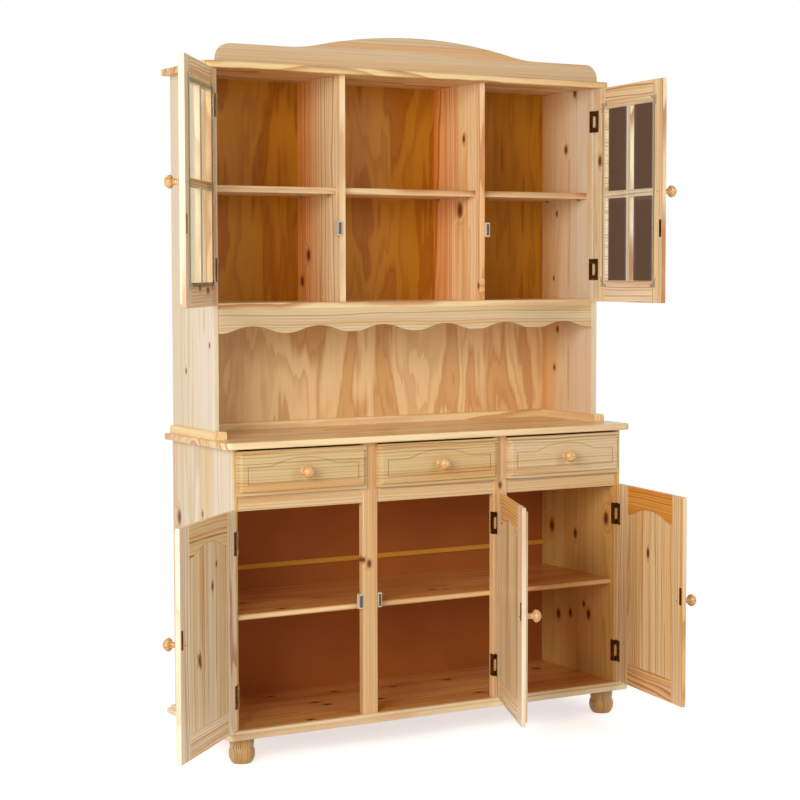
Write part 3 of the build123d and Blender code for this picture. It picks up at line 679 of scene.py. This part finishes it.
def door_frame(door, seed):
    """Two stiles with upright fibres and two rails with level ones."""
    _, width, stile = DOORS[door]
    finish = door_finish(door, "frame")
    run, depth, up = door_place(finish, door)
    in_stile = abs(run - width / 2) > (width / 2 - stile)
    in_rail = 1 - in_stile
    low, high = (part.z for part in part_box(f"{door}_door_frame"))
    upper = up > (low + high) / 2
    board = in_stile * (run > width / 2) * 3.0 + in_rail * (upper * 4.0 + 7.0) + seed
    along = up * in_stile + run * in_rail
    side = run * in_stile + up * in_rail - in_rail * upper * (high - low) * RAILS_APART[family(door)]
    knots = DOOR_KNOTS.get(door, ())
    # painted warm bounce light and shade on the rails, strongest on the upper rail
    painted_light = (in_rail * (upper * 0.75 + 0.25) * RAIL_PAINTED_BOUNCE.get(door, 0.0), linear(246, 208, 138))
    tones = FACE if door in PALER else PALE
    timber(finish, along, side, depth * THIN, board, tones, knots=knots, strewn=0.0, painted_light=painted_light)
    dress(f"{door}_door_frame", finish)


for number, door in enumerate(DOORS):
    door_frame(door, 20.0 + 11.0 * number)
print("door frames finished:", len(DOORS))

# %% [markdown]
# ## Panels, bars and knobs
# A raised panel is glued up from upright staves. The bars of a glass door are a cross, so they switch directions as
# a frame does, by a mask on the height. Knobs are turned with the fibres running out of the door, so their faces
# show rings.

# %% Panels, bars and knobs
HALF_BAR = 0.011
PANEL_KNOTS = {
    "base_left": ((0.581, 0.147, 0.006), (0.526, 0.177, 0.009), (0.348, 0.269, 0.012), (0.332, 0.262, 0.006)),
    "base_right": ((0.519, 0.193, 0.011),),
}


def door_boards(door, part, seed, stave=None):
    """A panel of upright staves, or bars, on a door."""
    finish = door_finish(door, part)
    run, depth, up = door_place(finish, door)
    board, glue = staves(finish, run, stave, seed) if stave else (finish.fixed(seed), None)
    along, side = up, run
    if part == "muntins":
        middle = sum(part.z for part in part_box(f"{door}_door_{part}")) / 2
        level = abs(up - middle) < HALF_BAR
        along, side = up * (1 - level) + run * level, run * (1 - level) + up * level
        board = board + level * 3.0
    tones = FACE if door in PALER else PALE
    timber(finish, along, side, depth * THIN, board, tones, glue=glue, knots=PANEL_KNOTS.get(door, ()), strewn=0.0)
    dress(f"{door}_door_{part}", finish)


def turned_ball(node, seed, door=None):
    """A knob, with its heart line through its middle."""
    finish = Finish(node, Coat_Weight=0.3, Coat_Roughness=0.2)
    side, along, up = door_place(finish, door) if door else room_place(finish)
    low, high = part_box(node)
    if door:
        _, width, stile = DOORS[door]
        side = side - (width - stile / 2)
    else:
        side = side - (low.x + high.x) / 2
    up = up - (low.z + high.z) / 2
    timber(finish, along, side, up, finish.fixed(seed), TURNED, strewn=0.0, gloss=0.3)
    dress(node, finish)


for number, door in enumerate(DOORS):
    turned_ball(f"{door}_door_knob", 90.0 + number, door)
for number, door in enumerate(("base_left", "base_middle", "base_right")):
    door_boards(door, "panel", 31.0 + number, stave=0.07)
for number, door in enumerate(("hutch_left", "hutch_right")):
    door_boards(door, "muntins", 36.0 + number)
print("panels, bars and door knobs finished")

# %% [markdown]
# ## Drawers
# A drawer's front is one wide board that lies level, and a lean in its heart line opens the rings into long arches.
# The box behind it is plain boards that run from front to back, on a bottom of veneered sheet.

# %% Drawers
for number, drawer in enumerate(("left", "middle", "right")):
    pine(f"{drawer}_drawer_front", "x", "z", STRAW, seed=41.0 + 2.0 * number, lean=0.22, strewn=0.0)
    pine(f"{drawer}_drawer_box", "y", "z", WARM, seed=51.0 + number)
    veneer(f"{drawer}_drawer_bottom", NICHE)
    turned_ball(f"{drawer}_drawer_knob", 61.0 + number)
print("drawers finished")

# %% [markdown]
# ## Hinges and pins
# The hinges are plated a dark antique brown, and the plating rubs through to brass on the middle knuckle of each
# barrel. Every hinge of a family hangs at the same two levels, and its pin is where the joint turns, so a mask can
# find each knuckle from its distance to the pin and its height.

# %% Plated metal
HINGE_LEVELS = {"base": (0.193, 0.614), "hutch": (1.355, 1.8045)}
KNUCKLE_REACH, KNUCKLE_HALF = 0.0047, 0.0135  # out from the pin, and up and down from its middle
BRASS = linear(238, 214, 162)


def metal(title, names, tone, worn, roughness=0.36, barrels=False):
    """Plated metal. On hinges the middle knuckle of each barrel is rubbed bright."""
    finish = Finish(title, Metallic=1.0)
    x, y, z = room_place(finish)
    cloud = finish.noise(finish.join(x * 60.0, y * 60.0, z * 60.0), detail=3.0)
    scratch = finish.noise(finish.join(x * 900.0, y * 900.0, z * 90.0), detail=2.0)
    colour = finish.blend(cloud.rise(0.45, 0.7) * 0.55 + scratch.rise(0.6, 0.8) * 0.3, tone, worn)
    if barrels:
        knuckles = []
        for door in DOORS:
            pin = joints[f"{door}_door_hinge"]["pos_m"]
            aside, out = x - pin[0], y - pin[1]
            at_pin = (aside * aside + out * out) < KNUCKLE_REACH * KNUCKLE_REACH
            knuckles += [at_pin * (abs(z - level) < KNUCKLE_HALF) for level in HINGE_LEVELS[family(door)]]
        colour = finish.blend(any_of(knuckles), colour, BRASS)
    finish.set(Base_Color=colour, Roughness=scratch * 0.2 + (roughness - 0.1))
    finish.bump(scratch, 0.15, 0.0002)
    for name in names:
        dress(name, finish)
    return finish


leaves = ["hinge_frame_leaves"] + [f"{door}_door_hardware" for door in DOORS]
metal("hinge_plating", leaves, linear(118, 92, 62), linear(172, 138, 94), barrels=True)
metal("bright_pins", ["hinge_pins"], linear(196, 178, 140), linear(226, 208, 168), 0.25)
metal("peg_steel", ["shelf_pegs"], linear(190, 188, 182), linear(220, 218, 212), 0.3)
print("plated pieces finished:", len(leaves) + 2)

# %% [markdown]
# ## Catches and clips
# A catch is a cream plastic shell with a magnet in its mouth, which shows as dark plates between two pale cheeks.
# Masks on the catches' places draw the plates. The clips that hold the panes are the same plastic, nearly clear.

# %% Plastic
POST_WIDTH = 0.048
CATCH_HALF = 0.006
post_outer, divider_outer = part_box("front_posts")[1].x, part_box("hutch_dividers")[1].x
CATCH_MIDDLES = (
    -post_outer - CATCH_HALF,
    POST_WIDTH - post_outer + CATCH_HALF,
    post_outer + CATCH_HALF,
    -divider_outer - CATCH_HALF,
    divider_outer + CATCH_HALF,
)
CATCH_LEVELS = {"base": 0.42, "hutch": 1.473}
PLATE_HALF, PLATE_RISE = 0.0042, 0.017  # half the width and half the height of a magnet's plates


def plastic(title, names, tone, roughness, magnets=False, clear=1.0):
    """Cream or clear plastic. A catch also has dark magnet plates in its mouth, between pale cheeks."""
    finish = Finish(title, Alpha=clear)
    x, y, z = room_place(finish)
    cloud = finish.noise(finish.join(x * 40.0, y * 40.0, z * 40.0), detail=2.0)
    grain = finish.noise(finish.join(x * 2600.0, y * 2600.0, z * 2600.0), detail=1.0)
    colour = finish.blend(cloud.rise(0.4, 0.7) * 0.3, tone, tuple(0.82 * part for part in tone[:3]) + (1.0,))
    if magnets:
        between = any_of([abs(x - middle) < PLATE_HALF for middle in CATCH_MIDDLES])
        level = any_of([abs(z - height) < PLATE_RISE for height in CATCH_LEVELS.values()])
        colour = finish.blend(between * level * 0.9, colour, linear(50, 42, 36))
    finish.set(Base_Color=colour, Roughness=grain * 0.12 + roughness)
    finish.bump(grain, 0.1, 0.0001)
    for name in names:
        dress(name, finish)


clips = [f"hutch_{side}_door_clips" for side in ("left", "right")]
plastic("catch_plastic", ["door_catches"], linear(206, 194, 170), 0.4, magnets=True)
plastic("clip_plastic", clips, linear(226, 210, 180), 0.3, clear=0.22)
print("magnets in", len(CATCH_MIDDLES), "catches, clips on", len(clips), "doors")

# %% [markdown]
# ## Smoked glass
# A smoked pane lies on the door's back, over the bars and the edge of the frame. The smoke hardly shows on the pale
# wood that touches the glass, and is dark where a light opens behind it, so the tint is kept to the four lights. Seen
# from the side, a bar also covers a strip of the light next to it. Layer Weight measures the angle, and the width of
# the strip follows from it. At a grazing angle the pane turns clear, through a Mix Shader. Its cut edge is green.

# %% Smoked glass
BAR, BAR_DEPTH = 2 * HALF_BAR, 0.016  # a bar's width, and how deep it is behind the pane
LAP, RIM = 0.01, 0.0003  # how far the pane laps the frame, and how much of that counts as its edge


def smoked_glass(door):
    """A smoked pane: dark over the four lights, clear over the bars and the frame, and green at its edge."""
    name = f"{door}_door_glass"
    finish = Finish(name, Roughness=0.05, IOR=1.45)
    run, depth, up = door_place(finish, door)
    low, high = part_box(name)
    _, width, stile = DOORS[door]
    from_middle, from_level = abs(run - width / 2), abs(up - (low.z + high.z) / 2)
    half_wide, half_high = width / 2 - stile, (high.z - low.z) / 2 - LAP
    edge_on = finish.node("ShaderNodeLayerWeight", None, {"Blend": 0.5}, 1)
    facing = (1 - edge_on).math("MAXIMUM", 0.2)
    hidden = (1 - facing * facing).math("SQRT") / facing * BAR_DEPTH
    past_stile, past_bar = run > hidden + stile, run > hidden + (width + BAR) / 2
    across = past_stile * (run < (width - BAR) / 2) + past_bar * (from_middle < half_wide)
    light = across * (from_level < half_high) * (from_level > BAR / 2)
    rim = 1 - (from_middle < half_wide + LAP - RIM) * (from_level < half_high + LAP - RIM)
    smoke = finish.noise(finish.join(run * 6.0, depth, up * 6.0), detail=1.0)
    tint = finish.blend(smoke * 0.3, linear(100, 78, 62), linear(88, 68, 54))
    colour = finish.blend(rim, finish.blend(light, linear(236, 240, 232), tint), linear(46, 84, 66))
    finish.set(Base_Color=colour, Alpha=light * 0.9 + (1 - light) * 0.04 + rim * 0.4)
    clear = finish.tree.nodes.new("ShaderNodeBsdfTransparent")
    clear.inputs["Color"].default_value = (0.93, 0.95, 0.92, 1.0)
    mixed = finish.tree.nodes.new("ShaderNodeMixShader")
    finish.feed(mixed.inputs[0], edge_on.rise(0.62, 0.82) * (1 - rim))
    finish.tree.links.new(finish.shader.outputs[0], mixed.inputs[1])
    finish.tree.links.new(clear.outputs[0], mixed.inputs[2])
    finish.tree.links.new(mixed.outputs[0], finish.output.inputs["Surface"])
    dress(name, finish)


for side in ("left", "right"):
    smoked_glass(f"hutch_{side}")
print("panes finished: 2")

# %% [markdown]
# ## Screws and nails
# Screws repeat, so they are made once by Geometry Nodes and stood on points. Each point carries the direction that
# its screw faces. The tree builds a countersunk head with a cross cut into it, turns it to its direction, and puts a
# copy on every point. The copies are then made real.

# %% A tree that drives screws
TOP_SHARE, CROSS_SHARE = 0.72, 1.15  # of the head's radius: the flat top of the cone, and the length of a cutter


def screw_tree():
    """Node tree: points with a facing direction become screw heads."""
    tree = bpy.data.node_groups.new("drive_screws", "GeometryNodeTree")
    ports = tree.interface
    ports.new_socket("Points", in_out="INPUT", socket_type="NodeSocketGeometry")
    for title in ("Head radius", "Head height", "Cross width"):
        ports.new_socket(title, in_out="INPUT", socket_type="NodeSocketFloat")
    ports.new_socket("Finish", in_out="INPUT", socket_type="NodeSocketMaterial")
    ports.new_socket("Screws", in_out="OUTPUT", socket_type="NodeSocketGeometry")
    make, link = tree.nodes.new, tree.links.new
    given, result = make("NodeGroupInput"), make("NodeGroupOutput")

    def share_of_radius(share):
        times = make("ShaderNodeMath")
        times.operation = "MULTIPLY"
        times.inputs[1].default_value = share
        link(given.outputs["Head radius"], times.inputs[0])
        return times.outputs[0]

    blank = make("GeometryNodeMeshCone")
    blank.inputs["Vertices"].default_value = 16
    link(given.outputs["Head radius"], blank.inputs["Radius Bottom"])
    link(share_of_radius(TOP_SHARE), blank.inputs["Radius Top"])
    link(given.outputs["Head height"], blank.inputs["Depth"])

    across = share_of_radius(CROSS_SHARE)
    cutters = make("GeometryNodeJoinGeometry")
    for turn in (0, 1):
        size = make("ShaderNodeCombineXYZ")
        link(across, size.inputs[turn])
        link(given.outputs["Cross width"], size.inputs[1 - turn])
        link(given.outputs["Head height"], size.inputs[2])
        bar = make("GeometryNodeMeshCube")
        link(size.outputs[0], bar.inputs["Size"])
        lift = make("GeometryNodeTransform")
        rise = make("ShaderNodeCombineXYZ")
        link(given.outputs["Head height"], rise.inputs[2])
        link(rise.outputs[0], lift.inputs["Translation"])
        link(bar.outputs["Mesh"], lift.inputs["Geometry"])
        link(lift.outputs[0], cutters.inputs[0])
    cut = make("GeometryNodeMeshBoolean")
    cut.operation = "DIFFERENCE"
    cut.solver = "EXACT"
    link(blank.outputs["Mesh"], cut.inputs["Mesh 1"])
    link(cutters.outputs[0], cut.inputs["Mesh 2"])
    cut.inputs["Self Intersection"].default_value = True

    facing = make("GeometryNodeInputNamedAttribute")
    facing.data_type = "FLOAT_VECTOR"
    facing.inputs["Name"].default_value = "facing"
    turned = make("FunctionNodeAlignRotationToVector")
    turned.axis = "Z"
    link(facing.outputs["Attribute"], turned.inputs["Vector"])
    stand = make("GeometryNodeInstanceOnPoints")
    link(given.outputs["Points"], stand.inputs["Points"])
    link(cut.outputs["Mesh"], stand.inputs["Instance"])
    link(turned.outputs[0], stand.inputs["Rotation"])
    real = make("GeometryNodeRealizeInstances")
    link(stand.outputs[0], real.inputs[0])
    coat = make("GeometryNodeSetMaterial")
    link(real.outputs[0], coat.inputs["Geometry"])
    link(given.outputs["Finish"], coat.inputs["Material"])
    link(coat.outputs[0], result.inputs["Screws"])
    return tree


def stand_on_points(tree, name, places, body, slot, **sizes):
    """Run a tree on points, keep the result as a plain mesh and let it ride on a body."""
    points = bpy.data.meshes.new(name + "_points")
    points.from_pydata([place for place, _ in places], [], [])
    attribute = points.attributes.new("facing", "FLOAT_VECTOR", "POINT")
    attribute.data.foreach_set("vector", [part for _, facing in places for part in facing])
    carrier = bpy.data.objects.new(name + "_points", points)
    bpy.context.scene.collection.objects.link(carrier)
    modifier = carrier.modifiers.new("tree", "NODES")
    modifier.node_group = tree
    sockets = {item.name: item.identifier for item in tree.interface.items_tree if item.in_out == "INPUT"}
    for title, value in sizes.items():
        modifier[sockets[title.replace("_", " ")]] = value
    bpy.context.view_layer.update()
    grown = bpy.data.meshes.new_from_object(carrier.evaluated_get(bpy.context.evaluated_depsgraph_get()))
    bpy.data.objects.remove(carrier)
    piece = bpy.data.objects.new(name, grown)
    bpy.context.scene.collection.objects.link(piece)
    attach(piece, body)
    print(name, "on", body, "-", len(places), "places,", len(grown.polygons), "faces")


screws = screw_tree()
print("screw tree has", len(screws.nodes), "nodes")

# %% [markdown]
# ## Where the screws go
# A hinge leaf is held by screws in its wing. The wing on the carcass lies on the inner wall of the side or the post,
# and the wing on the door lies on the back of its stile. Their places follow from the pin, which the joint gives.

# %% From a shut door to the room
PIN_SET, PIN_PROUD, LEAF = 0.0093, 0.0055, 0.0012  # from a pin to its wall and to the wall's front edge, and a leaf
LEAF_GAP = 0.0028  # between that edge and the back of the shut door
BACK_FACE = PIN_PROUD - LEAF_GAP


def door_turn(door):
    """How far a door stands open, as a rotation."""
    return Matrix.Rotation(radians(DOORS[door][0] * joints[f"{door}_door_hinge"]["range_deg"][0]), 3, "Z")


def shut_to_room(door, run, depth, up):
    """A place on the shut door, from its hinged edge, out of its back face and up, as it is with the door open."""
    pin = joints[f"{door}_door_hinge"]["pos_m"]
    return Vector((pin[0], pin[1], 0.0)) + door_turn(door) @ Vector((DOORS[door][0] * (PIN_GAP + run), depth, up))


def out_of_back(door):
    """The direction that leaves a door's back face."""
    return door_turn(door) @ Vector((0.0, 1.0, 0.0))


print("doors stand open by", [round(-joints[f"{door}_door_hinge"]["range_deg"][0]) for door in DOORS], "degrees")

# %% Hinge screws
SUNK = 0.0009  # how far a head is let into its leaf
SCREW_LINE, SCREW_RISES = 0.0095, (-0.022, 0.0, 0.022)  # from the edge of the timber, and up from a hinge's middle
screw_finish = metal("screw_heads", [], linear(112, 96, 70), linear(168, 146, 104), 0.34)
screw_sizes = {"Head_radius": 0.0031, "Head_height": 0.0011, "Cross_width": 0.0008, "Finish": screw_finish.material}
on_carcass = []
for door in DOORS:
    hand = DOORS[door][0]
    pin = joints[f"{door}_door_hinge"]["pos_m"]
    on_door = []
    for level in HINGE_LEVELS[family(door)]:
        for rise in SCREW_RISES:
            wall = (pin[0] + hand * (PIN_SET + LEAF - SUNK), pin[1] + PIN_PROUD + SCREW_LINE, level + rise)
            on_carcass.append((wall, (hand, 0.0, 0.0)))
            wing = shut_to_room(door, SCREW_LINE, BACK_FACE + LEAF - SUNK, level + rise)
            on_door.append((wing, out_of_back(door)))
    stand_on_points(screws, f"{door}_hinge_screws", on_door, f"{door}_door", "antique_metal", **screw_sizes)
stand_on_points(screws, "carcass_hinge_screws", on_carcass, "carcass", "antique_metal", **screw_sizes)

# %% [markdown]
# ## Smaller screws
# A knob is held by one screw through the stile, and its head shows on the door's back. The keeper plate, which meets
# the magnet, has a screw above and one below. Each corner clip of a pane has two, one towards the stile and one
# towards the rail.

# %% Small screws
PROUD, SMALL_SUNK = 0.0002, 0.0006  # a head that stands on a surface, and one that is let into the keeper
KEEPER_LINE, KEEPER_RISES = 0.0115, (-0.020, 0.020)  # from the free edge, and up from the catch's middle
CLIP_MARGIN = 0.0093  # how far a clip reaches beyond the pane
CLIP_TOP = BACK_FACE + 0.006  # the face of a clip
CLIP_SCREWS = ((0.0165, 0.0045), (0.0045, 0.0165))  # in from a clip's outer corner
small = {**screw_sizes, "Head_radius": 0.0021, "Head_height": 0.0008, "Cross_width": 0.0006}


def clip_places(door):
    """The screws in the four corner clips of a pane."""
    _, width, stile = DOORS[door]
    low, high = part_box(f"{door}_door_glass")
    middle, reach = (low.z + high.z) / 2, (high.z - low.z) / 2 + CLIP_MARGIN
    half = width / 2 - stile + LAP + CLIP_MARGIN
    places = []
    for side, end in ((-1, -1), (-1, 1), (1, -1), (1, 1)):
        for in_run, in_rise in CLIP_SCREWS:
            run, up = width / 2 + side * (half - in_run), middle + end * (reach - in_rise)
            places.append(shut_to_room(door, run, CLIP_TOP + PROUD, up))
    return places


for door in DOORS:
    _, width, stile = DOORS[door]
    low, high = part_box(f"{door}_door_knob")
    places = [shut_to_room(door, width - stile / 2, BACK_FACE + PROUD, (low.z + high.z) / 2)]
    for rise in KEEPER_RISES:
        level = CATCH_LEVELS[family(door)] + rise
        places.append(shut_to_room(door, width - KEEPER_LINE, BACK_FACE + LEAF - SMALL_SUNK, level))
    if family(door) == "hutch":
        places += clip_places(door)
    small_screws = [(place, out_of_back(door)) for place in places]
    stand_on_points(screws, f"{door}_small_screws", small_screws, f"{door}_door", "antique_metal", **small)

# %% [markdown]
# ## Nails round the backs
# The sheets of the backs are nailed into their rebates at even steps. A whole number of steps is fitted to each side,
# so a nail comes at every corner, and the same tree stands the heads on their points.

# %% Nails round the backs
NAIL_STEP = 0.11
NAIL_INSETS = {"base_back_sheets": 0.008, "hutch_back_panel": 0.006}
nails = []
for sheet, inset in NAIL_INSETS.items():
    low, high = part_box(sheet)
    across = max(2, round((high.x - low.x) / NAIL_STEP))
    upward = max(2, round((high.z - low.z) / NAIL_STEP))
    for step in range(across + 1):
        x = low.x + inset + (high.x - low.x - 2 * inset) * step / across
        nails += [((x, high.y + PROUD, z), (0.0, 1.0, 0.0)) for z in (low.z + inset, high.z - inset)]
    for step in range(1, upward):
        z = low.z + inset + (high.z - low.z - 2 * inset) * step / upward
        nails += [((x, high.y + PROUD, z), (0.0, 1.0, 0.0)) for x in (low.x + inset, high.x - inset)]
stand_on_points(screws, "back_nails", nails, "carcass", "antique_metal", **small)

# %% [markdown]
# ## A plain studio
# The furniture stands on a pale floor that runs up into a white background. A large soft lamp from the front right
# draws the shadows, a second one from the left keeps the side panels bright, and the world fills in the rest. The
# lamps are weak enough for a colour to show about as it was mixed.

# %% Floor
BACKDROP_RAYS = ("Is Camera Ray", "Is Glossy Ray", "Is Transmission Ray")  # these see the background as white


def pale_floor(reach):
    """A pale floor that glows a little to the camera and in reflections, but lights nothing."""
    mesh = bpy.data.meshes.new("floor")
    corners = [(-reach, -reach, 0), (reach, -reach, 0), (reach, reach, 0), (-reach, reach, 0)]
    mesh.from_pydata(corners, [], [(0, 1, 2, 3)])
    floor = bpy.data.objects.new("floor", mesh)
    bpy.context.scene.collection.objects.link(floor)
    finish = Finish("floor", Base_Color=(0.82, 0.82, 0.82, 1.0), Roughness=0.9)
    finish.shader.inputs["Emission Color"].default_value = (1.0, 1.0, 1.0, 1.0)
    path = finish.tree.nodes.new("ShaderNodeLightPath")
    seen = any_of([Wire(finish, path.outputs[ray]) for ray in BACKDROP_RAYS])
    lit = finish.tree.nodes.new("ShaderNodeEmission")
    finish.feed(lit.inputs["Color"], (1.0, 1.0, 1.0, 1.0))
    finish.feed(lit.inputs["Strength"], seen * 0.62)
    both = finish.tree.nodes.new("ShaderNodeAddShader")
    finish.tree.links.new(finish.shader.outputs[0], both.inputs[0])
    finish.tree.links.new(lit.outputs[0], both.inputs[1])
    finish.tree.links.new(both.outputs[0], finish.output.inputs["Surface"])
    mesh.materials.append(finish.material)


pale_floor(30.0)
print("floor laid")

# %% World and lamps


def bright_world(strength):
    """A world that lights the room softly and shows as plain white."""
    world = bpy.data.worlds.new("studio")
    bpy.context.scene.world = world
    world.use_nodes = True
    tree = world.node_tree
    tree.nodes.clear()
    path = tree.nodes.new("ShaderNodeLightPath")
    shown = path.outputs[BACKDROP_RAYS[0]]
    for ray in BACKDROP_RAYS[1:]:
        more = tree.nodes.new("ShaderNodeMath")
        more.operation = "MAXIMUM"
        tree.links.new(shown, more.inputs[0])
        tree.links.new(path.outputs[ray], more.inputs[1])
        shown = more.outputs[0]
    fill, white = (tree.nodes.new("ShaderNodeBackground") for _ in range(2))
    fill.inputs["Color"].default_value = (1.0, 0.985, 0.96, 1.0)
    fill.inputs["Strength"].default_value = strength
    white.inputs["Strength"].default_value = 1.0
    white.inputs["Color"].default_value = (1.0, 1.0, 1.0, 1.0)
    mix = tree.nodes.new("ShaderNodeMixShader")
    tree.links.new(shown, mix.inputs[0])
    tree.links.new(fill.outputs[0], mix.inputs[1])
    tree.links.new(white.outputs[0], mix.inputs[2])
    tree.links.new(mix.outputs[0], tree.nodes.new("ShaderNodeOutputWorld").inputs["Surface"])


def soft_lamp(name, place, target, size, power):
    """A square lamp of that size, turned to its target."""
    lamp = bpy.data.lights.new(name, "AREA")
    lamp.shape = "SQUARE"
    lamp.size = size
    lamp.energy = power
    holder = bpy.data.objects.new(name, lamp)
    holder.location = place
    holder.rotation_euler = (Vector(target) - Vector(place)).to_track_quat("-Z", "Y").to_euler()
    bpy.context.scene.collection.objects.link(holder)


bright_world(0.42)
soft_lamp("front_right_lamp", (2.6, -4.2, 2.6), (0.0, 0.0, 0.9), 1.6, 42.0)
soft_lamp("left_lamp", (-4.3, -3.2, 2.2), (0.0, 0.0, 1.0), 2.6, 205.0)
print("two lamps and a white world")

# %% [markdown]
# ## The camera
# The camera's place and its three angles were worked out from the furniture's own straight edges. Turning a camera by
# angles is easy to get wrong, so its three directions are written as vectors and put into its matrix: to the right,
# up, and back towards the eye. The focal length is in pixels of an image 800 wide, and a lens wants millimetres.

# %% Camera
EYE = (-2.8976, -4.9887, 1.3504)
YAW, PITCH, ROLL = radians(30.0865), radians(3.7621), radians(-0.125)
FOCAL, IMAGE = 1956.21, 800  # both in pixels
ahead = Vector((sin(YAW) * cos(PITCH), cos(YAW) * cos(PITCH), -sin(PITCH)))
right = Vector((cos(YAW), -sin(YAW), 0.0))
above = right.cross(ahead)
level = (cos(ROLL) * right + sin(ROLL) * above, -sin(ROLL) * right + cos(ROLL) * above, -ahead)
lens = bpy.data.cameras.new("camera")
lens.sensor_width = 36.0
lens.lens = FOCAL * lens.sensor_width / IMAGE
camera = bpy.data.objects.new("camera", lens)
camera.matrix_world = Matrix.Translation(EYE) @ Matrix(level).transposed().to_4x4()
bpy.context.scene.collection.objects.link(camera)
bpy.context.scene.camera = camera
bpy.context.scene.view_settings.view_transform = "Standard"
print("camera looks", [round(part, 3) for part in ahead])
